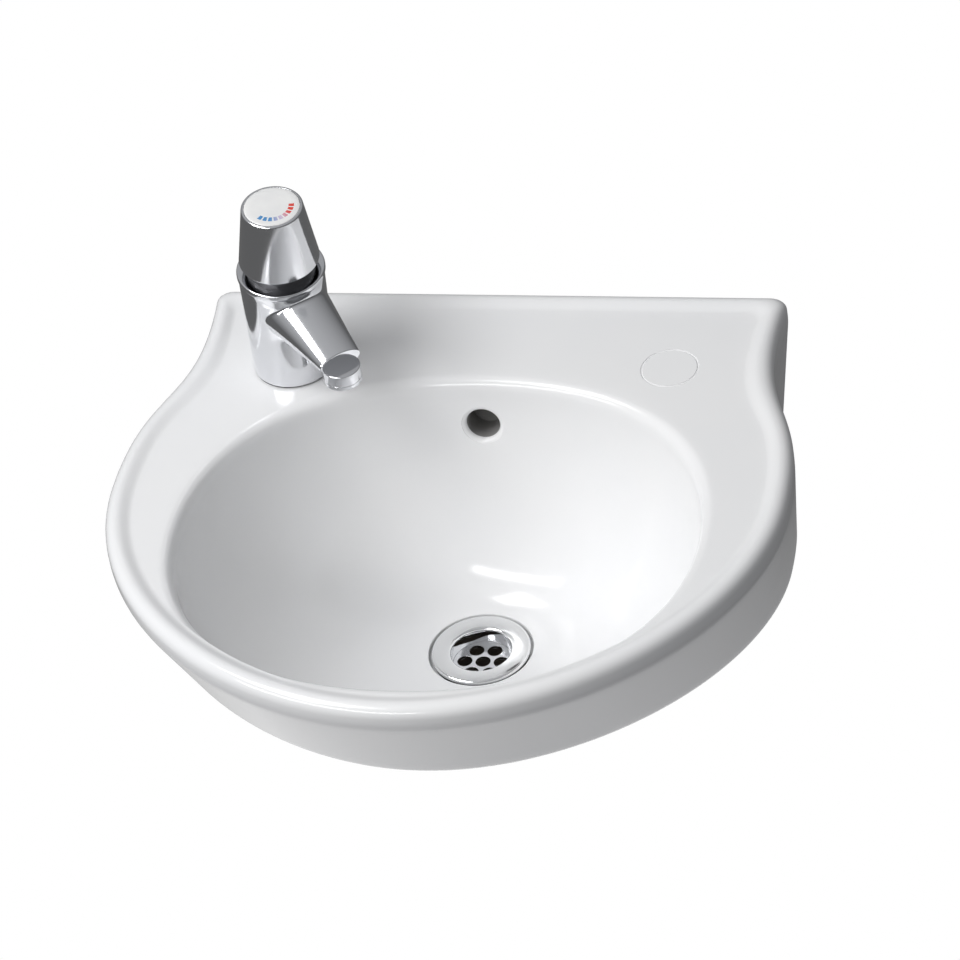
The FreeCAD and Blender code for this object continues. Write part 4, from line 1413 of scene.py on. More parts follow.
    def cutters(self) -> list[bmesh.types.BMesh]:
        """Make what is cut from the casting.

        Returns:
            The tap hole, the blind spare hole, the ring over it, the overflow and the wall fixings.
        """
        past = 2.0
        tap = rod(self.tap_hole, self.under_z - past, DECK_Z + past)
        tap.transform(Matrix.Translation((-TAP_SIDE, -TAP_FROM_WALL, 0)))
        spare = rod(self.tap_hole, self.under_z - past, self.spare_top)
        wire = self.groove_wire
        low = DECK_Z + wire * 0.4
        groove = turned(
            [
                Corner(self.groove_radius - wire, low),
                Corner(self.groove_radius - 0.7 * wire, low - 0.7 * wire),
                Corner(self.groove_radius, low - wire),
                Corner(self.groove_radius + 0.7 * wire, low - 0.7 * wire),
                Corner(self.groove_radius + wire, low),
                Corner(self.groove_radius, low + wire),
            ]
        )
        for tool in (spare, groove):
            tool.transform(Matrix.Translation((TAP_SIDE, -TAP_FROM_WALL, 0)))
        mouth = self.overflow_radius
        corners = [Corner(0.0, -self.overflow_run), Corner(mouth, -self.overflow_run)]
        corners += [Corner(mouth + out, level) for out, level in self.overflow_roll]
        corners.append(Corner(0.0, self.overflow_roll[-1][1]))
        overflow = turned(corners, closed=False)
        tilt = Matrix.Rotation(math.radians(90.0 - self.overflow_tilt), 4, "X")
        overflow.transform(Matrix.Translation((0, -self.bowl_back(self.overflow_z), self.overflow_z)) @ tilt)
        tools = [tap, spare, groove, overflow]
        level = Matrix.Rotation(math.radians(90.0), 4, "X")
        for side in (-1, 1):
            fixing = rod(self.fixing_radius, -past, self.wall + past, steps=DRILL_STEPS)
            fixing.transform(Matrix.Translation((side * self.fixing_side, 0, 0)) @ level)
            tools.append(fixing)
        return tools

    def bowl_back(self, z: float) -> float:
        """Find the bowl's back surface on the middle line.

        Args:
            z: the level.

        Returns:
            The surface's distance from the wall.
        """
        share = self.share_at((DECK_Z - z) / (DECK_Z - self.floor_z))
        centre = lerp(WASTE_FROM_WALL, self.bowl_centre, share)
        return centre - lerp(self.floor_radius, self.bowl_length / 2, share)

    def build(self) -> None:
        """Build the casting as one ringed surface and cut its holes."""
        places = self.places()
        rings = self.inner_rings(places) + self.deck_rings(places)
        rings += self.skirt_rings(places) + self.under_rings(places)
        loft = Loft(rings[0])
        for ring in rings[1:]:
            loft.grow(ring)
        tidy(loft.shape)
        casting = add_piece(carve(loft.shape, self.cutters()), "casting", CHINA, Body.BASIN, ["basin_casting"])
        back = self.bowl_back(self.overflow_z)

        def in_overflow(spot: Vector) -> bool:
            """Tell whether a point lies inside the overflow, behind the lit part of its mouth, where shade is
            painted.
            """
            reach = math.hypot(spot.x, spot.z - self.overflow_z)
            near = reach < self.overflow_radius + self.overflow_spread
            return near and self.wall < -spot.y < back - self.overflow_lit

        # Paint shade on the overflow's deeper hollow
        line_inside(casting, OVERFLOW_PAINTED_SHADE, in_overflow)


@dataclass(frozen=True)
class HexNut:
    """A hexagonal nut with its corners turned off and its bore eased. Sizes in mm."""

    flats: float
    corner: float
    bore: float
    bottom: float
    top: float
    bore_ease: Pair
    corner_ease: Pair
    steps: int = TURN_STEPS

    def shape(self) -> bmesh.types.BMesh:
        """Make the nut.

        Returns:
            The nut about the Z axis in mm.
        """
        past = 1.0
        bore_in, bore_up = self.bore_ease
        corner_in, corner_up = self.corner_ease
        blank = turned(
            [
                Corner(self.bore, self.bottom + bore_up),
                Corner(self.bore + bore_in, self.bottom),
                Corner(self.corner - corner_in, self.bottom),
                Corner(self.corner, self.bottom + corner_up),
                Corner(self.corner, self.top - corner_up),
                Corner(self.corner - corner_in, self.top),
                Corner(self.bore + bore_in, self.top),
                Corner(self.bore, self.top - bore_up),
            ],
            steps=self.steps,
        )
        return carve(blank, [hexagon(self.flats, self.bottom - past, self.top + past)], Carve.KEEP)


@dataclass
class Waste:
    """The grid waste in the bowl's floor with what clamps it. Sizes in mm."""

    top_z: float = -77.2
    flange_radius: float = 30.0
    thickness: float = 2.6
    tail_radius: float = 21.0
    bore: float = 18.0
    throat: float = 17.0
    grid_top: float = -87.6
    grid_thickness: float = 2.0
    grid_radius: float = 17.9
    hole_radius: float = 4.5
    hole_circle: float = 11.0
    ring_holes: int = 6
    seal_radius: float = 34.0
    seal_step: float = 2.5
    washer_top: float = -116.8
    nut_top: float = -118.3
    nut_bottom: float = -130.3
    nut_flats: float = 56.0
    nut_corner: float = 30.0
    tail_foot: float = -143.8
    pitch: float = 2.31
    thread_depth: float = 1.2
    play: float = 0.1

    def place(self, shape: bmesh.types.BMesh) -> bmesh.types.BMesh:
        """Return a shape moved from the axis to the waste hole."""
        shape.transform(Matrix.Translation((0, -WASTE_FROM_WALL, 0)))
        return shape

    def flange(self) -> bmesh.types.BMesh:
        """Make the flange with its threaded tail.

        Returns:
            The fitting about the Z axis.
        """
        bottom = self.top_z - self.thickness
        ledge = self.grid_top - self.grid_thickness
        corners = [
            Corner(self.bore, ledge),
            Corner(self.bore, self.top_z - 0.9, 1.4),
            Corner(self.bore + 5.0, self.top_z - 0.15, 2.0),
            Corner(self.flange_radius - 1.0, self.top_z - 0.1, 0.9),
            Corner(self.flange_radius, bottom + 0.9, 0.5),
            Corner(self.flange_radius - 0.6, bottom),
            Corner(self.tail_radius, bottom),
            Corner(self.tail_radius, self.washer_top + 2.0),
        ]
        corners += thread_corners(
            self.tail_radius, self.thread_depth, self.washer_top, self.tail_foot + 1.0, self.pitch
        )
        corners += [
            Corner(self.tail_radius - self.thread_depth - 0.3, self.tail_foot),
            Corner(self.throat, self.tail_foot, 0.3),
            Corner(self.throat, ledge),
        ]
        return turned(corners)

    def grid(self) -> bmesh.types.BMesh:
        """Make the disc with its middle hole and its ring of holes.

        Returns:
            The disc about the Z axis.
        """
        past = 1.0
        bottom = self.grid_top - self.grid_thickness
        spots = [(0.0, 0.0)]
        for index in range(self.ring_holes):
            angle = 2 * math.pi * index / self.ring_holes
            spots.append((self.hole_circle * math.cos(angle), self.hole_circle * math.sin(angle)))
        disc = rod(self.grid_radius, bottom, self.grid_top)
        low = bottom - past
        high = self.grid_top + past
        return carve(disc, [drill(spot, self.hole_radius, low, high) for spot in spots])

    def nut(self) -> bmesh.types.BMesh:
        """Return the backnut about the Z axis."""
        bore = self.tail_radius + self.play
        return HexNut(
            self.nut_flats, self.nut_corner, bore, self.nut_bottom, self.nut_top, (0.8, 0.8), (2.0, 1.2)
        ).shape()

    def seal(self) -> bmesh.types.BMesh:
        """Make the seal under the boss.

        Returns:
            The seal about the Z axis.
        """
        inner = self.tail_radius + self.play
        return turned(
            [
                Corner(inner, BOSS_Z),
                Corner(self.seal_radius, BOSS_Z, 0.4),
                Corner(self.seal_radius, BOSS_Z - self.seal_step, 0.8),
                Corner(self.seal_radius - 2.0, self.washer_top, 0.8),
                Corner(inner, self.washer_top),
            ]
        )

    def build(self) -> None:
        """Build the fitting, its grid, its nut and its lower seal."""
        flange = self.place(self.flange())
        # The fitting gets the lightened chrome of painted reflection
        fitting = add_piece(flange, "waste_fitting", PAINTED_REFLECTION_PLATE, Body.BASIN, ["waste_flange"])

        def in_tail(spot: Vector) -> bool:
            """Tell whether a point lies on the inside of the tail, below the grid, where shade is painted."""
            low = spot.z < self.grid_top - self.grid_thickness
            return low and math.hypot(spot.x, spot.y + WASTE_FROM_WALL) < self.bore + self.play

        # Paint shade on the inside of the tail
        line_inside(fitting, TAIL_BRASS_PAINTED_SHADE, in_tail)
        grid = add_piece(self.place(self.grid()), "waste_grid", CHROME, Body.BASIN, ["strainer_grid"])
        soften(grid, 0.35)
        nut = add_piece(self.place(self.nut()), "waste_nut", BRASS, Body.BASIN, ["waste_backnut"])
        soften(nut, 0.25, 2)
        add_piece(self.place(self.seal()), "waste_seal", RUBBER, Body.BASIN, ["waste_lower_seal"])


@dataclass
class TapFrame:
    """Where the tap stands on the deck and how its axis leans. Angles in degrees."""

    turn: float = 40.0
    rake: float = 5.0

    def upright(self) -> Matrix:
        """Return the matrix that sets an upright tap piece on the deck, turned to the spout's direction."""
        spot = Matrix.Translation((-TAP_SIDE, -TAP_FROM_WALL, DECK_Z))
        return spot @ Matrix.Rotation(math.radians(self.turn), 4, "Z")

    def spout_end(self) -> Matrix:
        """Return the matrix that sets an upright piece under the spout's end."""
        return self.upright() @ Matrix.Translation((0, -SPOUT_REACH, 0))

    def raked(self) -> Matrix:
        """Return the matrix that sets a piece of the leaning axis on the deck."""
        return self.upright() @ self.lean()

    def lean(self) -> Matrix:
        """Return the turn from upright onto the leaning axis."""
        return Matrix.Rotation(math.radians(self.rake), 4, "X")


@dataclass
class TapBody:
    """The chromed barrel with its bead and tapered spout. Sizes in mm."""

    frame: TapFrame
    base_radius: float = 24.0
    top_radius: float = 25.5
    taper_end: float = 73.8
    bead: float = 0.7
    base_z: float = GASKET_THICKNESS
    base_shrinks: tuple[float, ...] = (4.0, 0.8, 0.1)
    bore: float = 18.0
    bore_floor: float = 32.0
    root_half: float = 23.5
    root_top: float = 77.0
    root_bottom: float = 36.0
    tip_half: float = 13.3
    tip_top: float = 53.0
    tip_bottom: float = 41.5
    top_fillet: float = 2.0
    bottom_fillet: float = 3.5
    side_fillet: float = 0.6
    fillet_middle: float = 0.28
    nose_top: float = 43.9
    thread_radius: float = 9.5
    chamber_top: float = 42.2
    spigot_radius: float = 16.5
    spigot_foot: float = -10.0
    spigot_lap: float = 0.5
    inlet_side: float = 9.0
    inlet_radius: float = 4.5
    stud_radius: float = 4.1
    port_steps: int = 40
    columns: int = 64
    patch_half: int = 11
    patch_rows: int = 12
    patch_low: float = 36.5
    patch_high: float = 71.2
    still_rows: int = 3
    relax_rounds: int = 24
    lower_levels: tuple[float, ...] = (2.6, 8.0, 15.0, 22.0, 28.0, 33.0)
    upper_levels: tuple[float, ...] = (72.4, 73.3)
    spout_shares: tuple[float, ...] = (0.0, 0.12, 0.28, 0.46, 0.64, 0.82, 0.95, 0.985)
    end_grows: tuple[float, ...] = (-0.15, -0.7, -2.2, -4.0)

    def barrel(self, level: float) -> float:
        """Return the barrel's radius at a level along its axis."""
        return lerp(self.base_radius, self.top_radius, min(level, self.taper_end) / self.taper_end)

    def ring(self, radius: float, level: Callable[[float], float]) -> list[Vector]:
        """Draw a ring round the leaning axis.

        Args:
            radius: the ring's radius.
            level: gives the level along the axis in each direction.

        Returns:
            The ring's points in the upright tap's frame, the first one at the front.
        """
        lean = self.frame.lean()
        points = []
        for column in range(self.columns):
            angle = 2 * math.pi * column / self.columns - math.pi / 2
            points.append(lean @ Vector((radius * math.cos(angle), radius * math.sin(angle), level(angle))))
        return points

    def base_ring(self, shrink: float) -> list[Vector]:
        """Draw a ring on which the barrel meets its level base.

        Args:
            shrink: how far the ring is drawn in.

        Returns:
            The ring's points.
        """
        tilt = math.radians(self.frame.rake)
        radius = self.base_radius - shrink

        def level(angle: float) -> float:
            """Return where the level base cuts the leaning barrel in a direction."""
            return (self.base_z - radius * math.sin(angle) * math.sin(tilt)) / math.cos(tilt)

        return self.ring(radius, level)

    def spout_point(self, angle: float, reach: float, grow: float) -> Vector:
        """Return a point of the spout's oval section.

        Args:
            angle: the direction round the oval, zero to its side and a quarter turn up.
            reach: how far in front of the tap's centre the section is.
            grow: how far the section is grown.

        Returns:
            The point in the upright tap's frame.
        """
        share = reach / SPOUT_REACH
        half = lerp(self.root_half, self.tip_half, share) + grow
        top = lerp(self.root_top, self.tip_top, share) + grow
        bottom = lerp(self.root_bottom, self.tip_bottom, share) - grow
        middle = (top + bottom) / 2
        return Vector((half * math.cos(angle), -reach, middle + (top - bottom) / 2 * math.sin(angle)))

    def fillet(self, angle: float) -> float:
        """Return how far the fillet between barrel and spout reaches, in a direction round the spout."""
        end = self.top_fillet if math.sin(angle) > 0 else self.bottom_fillet
        return lerp(self.side_fillet, end, math.sin(angle) ** 2)

    def junction(self, angle: float, grow: float, swell: float) -> float:
        """Find where a grown spout section comes out of a swollen barrel.

        Args:
            angle: the direction round the spout.
            grow: how far the spout is grown.
            swell: how far the barrel is swollen.

        Returns:
            The reach there.
        """
        upright = self.frame.lean().inverted()

        def outside(reach: float) -> float:
            """Return how far the spout's point at a reach is outside the barrel."""
            point = upright @ self.spout_point(angle, reach, grow)
            return math.hypot(point.x, point.y) - self.barrel(point.z) - swell

        return solve(outside, 0.0, SPOUT_REACH)

    def cage_levels(self) -> list[Pair]:
        """List the rings of the barrel's cage above its base.

        Returns:
            Each ring's radius and level, up the outside, over the bead and down the bore.
        """
        step = (self.patch_high - self.patch_low) / self.patch_rows
        plain = [*self.lower_levels, *(self.patch_low + step * row for row in range(self.patch_rows + 1))]
        plain += self.upper_levels
        levels = [(self.barrel(level), level) for level in plain]
        top = self.top_radius
        return levels + [
            (top + 0.15, 73.75),
            (top + 0.62, 74.25),
            (top + self.bead, 74.8),
            (top + self.bead, 75.7),
            (top + self.bead, 76.5),
            (top + 0.55, 77.1),
            (top + 0.1, 77.45),
            (top - 0.6, COLLAR_SHOULDER),
            (self.bore + 3.0, COLLAR_SHOULDER),
            (self.bore + 0.4, COLLAR_SHOULDER),
            (self.bore, COLLAR_SHOULDER - 0.4),
            (self.bore, COLLAR_SHOULDER - 3.0),
            (self.bore, self.bore_floor + 1.0),
            (self.bore, self.bore_floor),
            (self.bore - 2.0, self.bore_floor),
        ]

    def relax(self, loft: Loft, fixed: set[bmesh.types.BMVert], low: int, high: int) -> None:
        """Even out the cage's vertices on the barrel.

        Args:
            loft: the cage.
            fixed: the vertices that stay.
            low: the row below the lowest that moves.
            high: the row above the highest that moves.
        """
        lean = self.frame.lean()
        upright = lean.inverted()
        free = [vert for vert in loft.shape.verts if low < vert[loft.row] < high and vert not in fixed]
        for _ in range(self.relax_rounds):
            bmesh.ops.smooth_vert(
                loft.shape, verts=free, factor=0.5, use_axis_x=True, use_axis_y=True, use_axis_z=True
            )
            for vert in free:
                point = upright @ vert.co
                scale = self.barrel(point.z) / math.hypot(point.x, point.y)
                vert.co = lean @ Vector((point.x * scale, point.y * scale, point.z))

    def open_patch(self, loft: Loft, first_row: int) -> dict[bmesh.types.BMVert, float]:
        """Open the barrel's cage for the spout.

        Args:
            loft: the barrel's cage.
            first_row: the lowest row of the patch that the spout leaves from.

        Returns:
            The vertices round the opening with their direction round the spout.
        """
        half = self.patch_half
        inside = []
        edge: dict[bmesh.types.BMVert, float] = {}
        for vert in loft.shape.verts:
            column = (vert[loft.place] + self.columns // 2) % self.columns - self.columns // 2
            row = vert[loft.row] - first_row
            if abs(column) > half or not 0 <= row <= self.patch_rows:
                continue
            if abs(column) == half or row in (0, self.patch_rows):
                edge[vert] = math.atan2(2 * row / self.patch_rows - 1, column / half)
            else:
                inside.append(vert)
        bmesh.ops.delete(loft.shape, geom=inside, context="VERTS")
        return edge

    def fillet_point(self, angle: float, grow_share: float, swell_share: float) -> Vector:
        """Return the point where a spout and a barrel that are thicker by shares of their fillet meet."""
        grow = grow_share * self.fillet(angle)
        return self.spout_point(angle, self.junction(angle, grow, swell_share * self.fillet(angle)), grow)

    def grow_spout(self, loft: Loft, edge: dict[bmesh.types.BMVert, float]) -> None:
        """Draw the spout out of the opening ring by ring and close its end.

        Args:
            loft: the barrel's cage.
            edge: the vertices round the opening with their direction round the spout.
        """
        order = sorted(edge, key=lambda vert: edge[vert])
        angles = [edge[vert] for vert in order]
        for index, vert in enumerate(order):
            vert[loft.place] = index
            vert.co = self.fillet_point(angles[index], 1.0, 0.0)
        sides = [side for vert in order for side in vert.link_edges if side.is_boundary]
        loft.edge = list(dict.fromkeys(side for side in sides if edge.keys() >= set(side.verts)))
        middle = self.fillet_middle
        loft.grow([self.fillet_point(angle, middle, middle) for angle in angles])
        starts = [self.junction(angle, 0.0, self.fillet(angle)) for angle in angles]
        for share in self.spout_shares:
            reaches = [lerp(start, SPOUT_REACH, share) for start in starts]
            loft.grow([self.spout_point(angle, reach, 0.0) for angle, reach in zip(angles, reaches)])
        for grow in self.end_grows:
            loft.grow([self.spout_point(angle, SPOUT_REACH, grow) for angle in angles])
        loft.fill()

    def cage(self) -> bmesh.types.BMesh:
        """Make the control cage of the barrel with its spout.

        Returns:
            The cage in the upright tap's frame.
        """
        loft = Loft(self.base_ring(self.base_shrinks[0]))
        loft.fill()
        for shrink in self.base_shrinks[1:]:
            loft.grow(self.base_ring(shrink))
        first_patch = 0
        for radius, level in self.cage_levels():
            loft.grow(self.ring(radius, lambda _, height=level: height))
            if level == self.patch_low:
                first_patch = loft.rows
        loft.fill()
        edge = self.open_patch(loft, first_patch)
        self.grow_spout(loft, edge)
        self.relax(loft, set(edge), self.still_rows, first_patch + self.patch_rows + 1)
        return loft.shape

    def nose(self) -> bmesh.types.BMesh:
        """Make the hollow nose under the spout's end.

        Returns:
            The nose about the Z axis.
        """
        return turned(
            [
                Corner(0, self.chamber_top),
                Corner(self.thread_radius, self.chamber_top),
                Corner(self.thread_radius, NOSE_BOTTOM),
                Corner(NOSE_RADIUS, NOSE_BOTTOM, 0.2),
                Corner(NOSE_RADIUS, self.nose_top, 0.6),
                Corner(0, self.nose_top),
            ],
            closed=False,
        )

    def spigot(self) -> bmesh.types.BMesh:
        """Make the spigot under the base with its two inlets and the hole for its stud.

        Returns:
            The spigot about the Z axis.
        """
        past = 1.0
        top = self.base_z + self.spigot_lap
        blank = turned(
            [
                Corner(0, self.spigot_foot),
                Corner(self.spigot_radius, self.spigot_foot, 0.6),
                Corner(self.spigot_radius, top),
                Corner(0, top),
            ],
            closed=False,
        )
        holes = [((side * self.inlet_side, 0.0), self.inlet_radius) for side in (-1, 1)]
        holes.append(((0.0, STUD_OFFSET), self.stud_radius))
        low = self.spigot_foot - past
        high = self.base_z - self.spigot_lap
        return carve(blank, [drill(spot, radius, low, high, self.port_steps) for spot, radius in holes])

    def build(self) -> None:
        """Build the body, the nose under its spout's end and the spigot under its base."""
        shape = self.cage()
        tidy(shape)
        shape.transform(self.frame.upright())
        subdivide(add_piece(shape, "tap_shell", CHROME, Body.BASIN, ["tap_body"]), 2)
        nose = self.nose()
        nose.transform(self.frame.spout_end())
        add_piece(nose, "tap_nose", CHROME, Body.BASIN)
        spigot = self.spigot()
        spigot.transform(self.frame.upright())
        add_piece(spigot, "tap_spigot", CHROME, Body.BASIN)


@dataclass
class Knob:
    """The tapered push knob. Sizes in mm along the tap's axis."""

    frame: TapFrame
    bottom: float = 85.0
    top: float = 125.0
    bottom_radius: float = 23.8
    top_radius: float = 18.2
    wall: float = 2.0
    web_top: float = 122.5
    web_bottom: float = 118.5
    hub_length: float = 18.0
    hub_bore: float = 5.1
    hub_radius: float = 8.1
    cap_radius: float = 16.65
    head_radius: float = 3.75
    head_bottom: float = 119.95
    screw_radius: float = 2.1
    steps: int = 128

    def radius(self, level: float) -> float:
        """Return the knob's outer radius at a level."""
        return lerp(self.bottom_radius, self.top_radius, (level - self.bottom) / (self.top - self.bottom))

    def build(self) -> None:
        """Build the knob as one turned piece."""
        shape = turned(
            [
                Corner(self.hub_bore, self.web_bottom - self.hub_length),
                Corner(self.hub_radius, self.web_bottom - self.hub_length, 0.4),
                Corner(self.hub_radius, self.web_bottom),
                Corner(self.radius(self.web_bottom) - self.wall, self.web_bottom, 1.0),
                Corner(self.radius(self.bottom) - self.wall, self.bottom, 0.3),
                Corner(self.radius(self.bottom), self.bottom, 0.7),
                Corner(self.radius(self.top), self.top, 1.0),
                Corner(self.cap_radius, self.top, 0.15),
                Corner(self.cap_radius, self.web_top),
                Corner(self.head_radius, self.web_top),
                Corner(self.head_radius, self.head_bottom),
                Corner(self.screw_radius, self.head_bottom),
                Corner(self.screw_radius, self.web_bottom),
                Corner(self.hub_bore, self.web_bottom),
            ],
            steps=self.steps,
        )
        shape.transform(self.frame.raked())
        add_piece(shape, "knob_shell", CHROME, Body.KNOB, ["push_knob"])


@dataclass
class IndexCap:
    """The white disc in the knob's top. Sizes in mm along the tap's axis."""

    MAP_NAME = "cap"
    MAP_SIZE = 33.0

    frame: TapFrame
    radius: float = 16.5
    bottom: float = 122.5
    top: float = 125.5
    crown: float = 2.2
    crown_drop: float = 0.35

    def build(self) -> None:
        """Build the cap with a map of its top for the print."""
        shape = turned(
            [
                Corner(0, self.bottom),
                Corner(self.radius, self.bottom),
                Corner(self.radius, self.top - self.crown_drop, 0.5),
                Corner(self.radius - self.crown, self.top, 1.2),
                Corner(0, self.top),
            ],
            closed=False,
        )
        layer = shape.loops.layers.uv.new(self.MAP_NAME)
        for face in shape.faces:
            for loop in face.loops:
                loop[layer].uv = (loop.vert.co.x / self.MAP_SIZE + 0.5, loop.vert.co.y / self.MAP_SIZE + 0.5)
        shape.transform(self.frame.raked())
        add_piece(shape, "cap_disc", WHITE_PLASTIC, Body.KNOB, ["index_cap"])


@dataclass
class NeckCollar:
    """The collar whose neck shows under the knob. Sizes in mm along the tap's axis."""

    frame: TapFrame
    bottom: float = 66.0
    seal_top: float = 68.0
    top: float = 86.5
    seal_radius: float = 7.0
    body_radius: float = 17.9
    neck_radius: float = 20.15
    bore: float = 5.06

    def build(self) -> None:
        """Build the collar as one turned piece."""
        shape = turned(
            [
                Corner(self.seal_radius, self.bottom),
                Corner(self.body_radius, self.bottom, 0.4),
                Corner(self.body_radius, COLLAR_SHOULDER),
                Corner(self.neck_radius, COLLAR_SHOULDER),
                Corner(self.neck_radius, self.top, 0.6),
                Corner(self.bore, self.top, 0.3),
                Corner(self.bore, self.seal_top),
                Corner(self.seal_radius, self.seal_top),
            ]
        )
        shape.transform(self.frame.raked())
        # The neck gets the painted shade of the gap under the knob
        add_piece(shape, "neck_collar", NECK_PAINTED_SHADE, Body.BASIN, ["retaining_collar"])


@dataclass
class AeratorRing:
    """The aerator's ring under the nose. Sizes in mm above the deck."""

    frame: TapFrame
    bottom: float = 33.5
    lip_top: float = 34.5
    top: float = 41.0
    lip_bore: float = 7.0
    bore: float = 8.0
    thread_radius: float = 9.4

    def build(self) -> None:
        """Build the ring as one turned piece."""
        shape = turned(
            [
                Corner(self.lip_bore, self.bottom, 0.25),
                Corner(NOSE_RADIUS, self.bottom, 0.9),
                Corner(NOSE_RADIUS, NOSE_BOTTOM, 0.25),
                Corner(self.thread_radius, NOSE_BOTTOM),
                Corner(self.thread_radius, self.top, 0.4),
                Corner(self.bore, self.top),
                Corner(self.bore, self.lip_top),
                Corner(self.lip_bore, self.lip_top),
            ]
        )
        shape.transform(self.frame.spout_end())
        add_piece(shape, "aerator_ring", CHROME, Body.BASIN, ["aerator_housing"])


@dataclass
class BaseGasket:
    """The gasket under the tap's base. Sizes in mm."""

    frame: TapFrame
    bore: float = 16.65
    radius: float = 23.25
    ease: float = 0.4

    def build(self) -> None:
        """Build the gasket as one turned piece."""
        shape = turned(
            [
                Corner(self.bore, 0.0),
                Corner(self.radius, 0.0, self.ease),
                Corner(self.radius, GASKET_THICKNESS, self.ease),
                Corner(self.bore, GASKET_THICKNESS),
            ]
        )
        shape.transform(self.frame.upright())
        add_piece(shape, "base_seal", RUBBER, Body.BASIN, ["tap_base_gasket"])


@dataclass
class FixingStud:
    """The threaded stud under the tap and its hexagonal nut. Sizes in mm from the deck."""

    frame: TapFrame
    radius: float = 4.0
    thread_depth: float = 0.6
    pitch: float = 1.25
    top: float = 2.0
    foot: float = -60.0
    end_radius: float = 3.2
    end_ease: float = 0.6
    nut_flats: float = 13.0
    nut_bore: float = 4.1
    nut_top: float = -19.0
    nut_bottom: float = -25.5
    stud_steps: int = 32
    nut_steps: int = 72

    def stud(self) -> bmesh.types.BMesh:
        """Make the stud.

        Returns:
            The stud about the Z axis.
        """
        thread = thread_corners(
            self.radius, self.thread_depth, self.top - self.end_ease, self.foot + self.end_ease, self.pitch
        )
        corners = [Corner(0, self.top), Corner(self.end_radius, self.top)] + thread
        corners += [Corner(self.end_radius, self.foot), Corner(0, self.foot)]
        return turned(corners, closed=False, steps=self.stud_steps)

    def nut(self) -> bmesh.types.BMesh:
        """Return the nut about the Z axis."""
        corner = self.nut_flats / math.sqrt(3)
        return HexNut(
            self.nut_flats,
            corner,
            self.nut_bore,
            self.nut_bottom,
            self.nut_top,
            bore_ease=(0.4, 0.3),
            corner_ease=(0.9, 0.5),
            steps=self.nut_steps,
        ).shape()

    def build(self) -> None:
        """Build the stud and its nut."""
        spot = self.frame.upright() @ Matrix.Translation((0, STUD_OFFSET, 0))
        stud = self.stud()
        stud.transform(spot)
        add_piece(stud, "stud_thread", STEEL, Body.BASIN, ["fixing_stud"])
        nut = self.nut()
        nut.transform(spot)
        soften(add_piece(nut, "stud_nut", BRASS, Body.BASIN, ["fixing_nut"]), 0.12, 2)


@dataclass(frozen=True)
class Lamp:
    """A soft rectangular light: its place and size in metres and its power in watts."""

    name: str
    spot: Point
    size: Pair
    power: float

    def hang(self, aim: Vector) -> None:
        """Add the light to the scene.

        Args:
            aim: the point it faces.
        """
        lamp = bpy.data.lights.new(self.name, "AREA")
        lamp.shape = "RECTANGLE"
        lamp.size, lamp.size_y = self.size
        lamp.energy = self.power
        holder = bpy.data.objects.new(self.name, lamp)
        turn = (Vector(self.spot) - aim).to_track_quat("Z", "Y").to_matrix().to_4x4()
        holder.matrix_world = Matrix.Translation(self.spot) @ turn
        bpy.context.scene.collection.objects.link(holder)


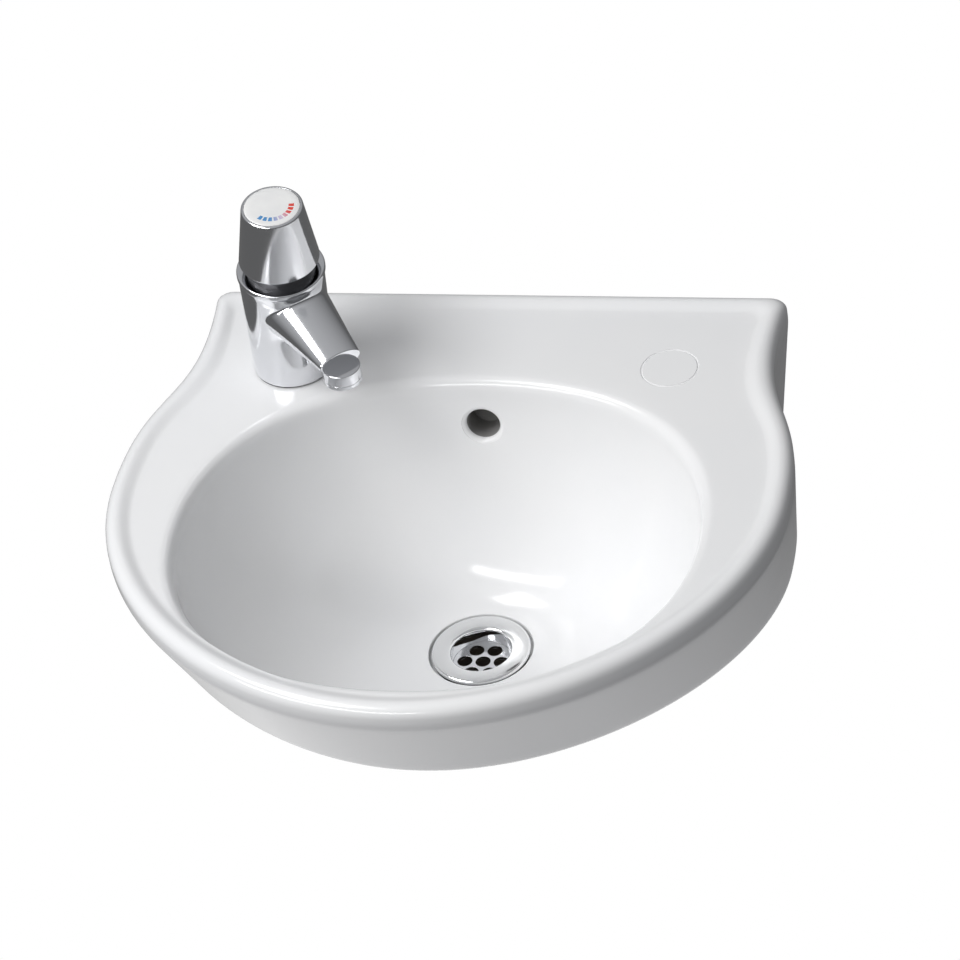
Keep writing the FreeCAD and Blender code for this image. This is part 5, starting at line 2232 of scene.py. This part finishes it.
@dataclass
class Studio:
    """The floor, the soft lights and the camera. Sizes in metres, angles in degrees."""

    floor_z: float = -0.79
    floor_size: float = 30.0
    floor_colour: Colour = (0.40, 0.40, 0.41)
    sheet_spot: Pair = (-0.15, 0.0)
    sheet_radius: float = 0.35
    sheet_fade: float = 0.5
    past_sheet: float = 0.13
    room_colour: Colour = (0.97, 0.98, 1.0)
    horizon_level: float = 0.13
    overhead_level: float = 0.50
    left_level: float = 1.25
    right_level: float = 0.65
    lamps: tuple[Lamp, ...] = (
        Lamp("key light", (-1.1, -0.6, 2.05), (1.3, 0.9), 26.0),
        Lamp("front light", (-1.2, -2.0, 1.4), (2.6, 0.3), 27.0),
    )
    lamp_aim: Point = (0.0, -0.18, 0.0)
    camera_spot: Point = (0.8704, -3.0322, 2.5415)
    camera_yaw: float = 16.58
    camera_pitch: float = 39.75
    camera_roll: float = -9.72
    lens: float = 252.9
    sensor: float = 36.0
    clip_end: float = 60.0

    def paper(self) -> bpy.types.Material:
        """Make the floor's paper, white to the camera and dim in reflections away from the sheet.

        Returns:
            The paper's material.
        """
        material = bpy.data.materials.new("white paper")
        graph = fresh_graph(material)
        spot = graph.add("ShaderNodeNewGeometry").outputs["Position"]
        centre = (*self.sheet_spot, self.floor_z)
        away = graph.add("ShaderNodeVectorMath", {0: spot, 1: centre}, operation="DISTANCE")
        sheet = graph.add(
            "ShaderNodeMapRange",
            {
                "Value": away.outputs["Value"],
                "From Min": self.sheet_radius + self.sheet_fade,
                "From Max": self.sheet_radius,
            },
        ).outputs[0]
        path = graph.add("ShaderNodeLightPath").outputs
        matt = graph.add("ShaderNodeBsdfDiffuse", {"Color": (*self.floor_colour, 1)})
        level = graph.math("MULTIPLY_ADD", sheet, 1 - self.past_sheet, self.past_sheet)
        bright = graph.math("MAXIMUM", path["Is Camera Ray"], level)
        paper = graph.add("ShaderNodeEmission", {"Color": (1, 1, 1, 1), "Strength": bright})
        seen = graph.math("MAXIMUM", path["Is Camera Ray"], path["Is Glossy Ray"])
        seen = graph.math("MAXIMUM", seen, path["Is Transmission Ray"])
        mix = graph.add("ShaderNodeMixShader", {0: seen, 1: matt.outputs[0], 2: paper.outputs[0]})
        graph.add("ShaderNodeOutputMaterial", {"Surface": mix.outputs[0]})
        return material

    def floor(self) -> None:
        """Lay a plain floor with a white sheet under the basin."""
        shape = bmesh.new()
        bmesh.ops.create_grid(shape, x_segments=1, y_segments=1, size=self.floor_size)
        bmesh.ops.translate(shape, vec=(0, 0, self.floor_z), verts=shape.verts[:])
        mesh = bpy.data.meshes.new("floor")
        shape.to_mesh(mesh)
        shape.free()
        mesh.materials.append(self.paper())
        floor = bpy.data.objects.new("floor", mesh)
        bpy.context.scene.collection.objects.link(floor)

    def world(self) -> None:
        """Light the room softly from above and from the left, and make it white to the camera."""
        world = bpy.data.worlds.new("room")
        bpy.context.scene.world = world
        graph = fresh_graph(world)
        way = graph.add("ShaderNodeTexCoord").outputs["Generated"]
        axes = graph.add("ShaderNodeSeparateXYZ", {0: way}).outputs
        rise = graph.add(
            "ShaderNodeMapRange",
            {"Value": axes["Z"], "To Min": self.horizon_level, "To Max": self.overhead_level},
        ).outputs[0]
        side = graph.add(
            "ShaderNodeMapRange",
            {"Value": axes["X"], "From Min": -1.0, "To Min": self.left_level, "To Max": self.right_level},
        ).outputs[0]
        path = graph.add("ShaderNodeLightPath").outputs
        level = graph.math("MAXIMUM", graph.math("MULTIPLY", rise, side), path["Is Camera Ray"])
        room = graph.add("ShaderNodeBackground", {"Color": (*self.room_colour, 1), "Strength": level})
        graph.add("ShaderNodeOutputWorld", {"Surface": room.outputs[0]})

    def camera(self) -> None:
        """Set the camera at the photograph's place and angle."""
        yaw = math.radians(self.camera_yaw)
        pitch = math.radians(self.camera_pitch)
        roll = math.radians(self.camera_roll)
        ahead = Vector((-math.sin(yaw) * math.cos(pitch), math.cos(yaw) * math.cos(pitch), -math.sin(pitch)))
        level = Vector((math.cos(yaw), math.sin(yaw), 0))
        over = level.cross(ahead)
        right = math.cos(roll) * level + math.sin(roll) * over
        up = math.cos(roll) * over - math.sin(roll) * level
        lens = bpy.data.cameras.new("camera")
        lens.lens = self.lens
        lens.sensor_width = self.sensor
        lens.clip_end = self.clip_end
        holder = bpy.data.objects.new("camera", lens)
        turn = Matrix((right, up, -ahead)).transposed().to_4x4()
        holder.matrix_world = Matrix.Translation(self.camera_spot) @ turn
        bpy.context.scene.collection.objects.link(holder)
        bpy.context.scene.camera = holder

    def build(self) -> None:
        """Set up the whole studio."""
        self.floor()
        self.world()
        for lamp in self.lamps:
            lamp.hang(Vector(self.lamp_aim))
        self.camera()
        bpy.context.scene.view_settings.view_transform = "Standard"


def dress_nodes(frame: dict) -> None:
    """Give every CAD node the finish of its record slot.
    """
    finishes = {finish.slot.value: finish for finish in FINISHES}
    slots = {part["node"]: part["material_slot"] for part in frame["record"]["subparts"]}
    for name, node in frame["nodes"].items():
        material = finishes[slots[name]].material()
        node.data.materials.clear()
        node.data.materials.append(material)
        LOG.info("node %s dressed in %s", name, material.name)


def main() -> None:
    """Build the dressed model and its studio."""
    logging.basicConfig(level=logging.INFO)
    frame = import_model()
    dress_nodes(frame)
    BasinCasting().build()
    Waste().build()
    tap = TapFrame()
    for fitting in (TapBody, Knob, IndexCap, NeckCollar, AeratorRing, BaseGasket, FixingStud):
        fitting(tap).build()
    Studio().build()


if __name__ == "__main__":
    main()
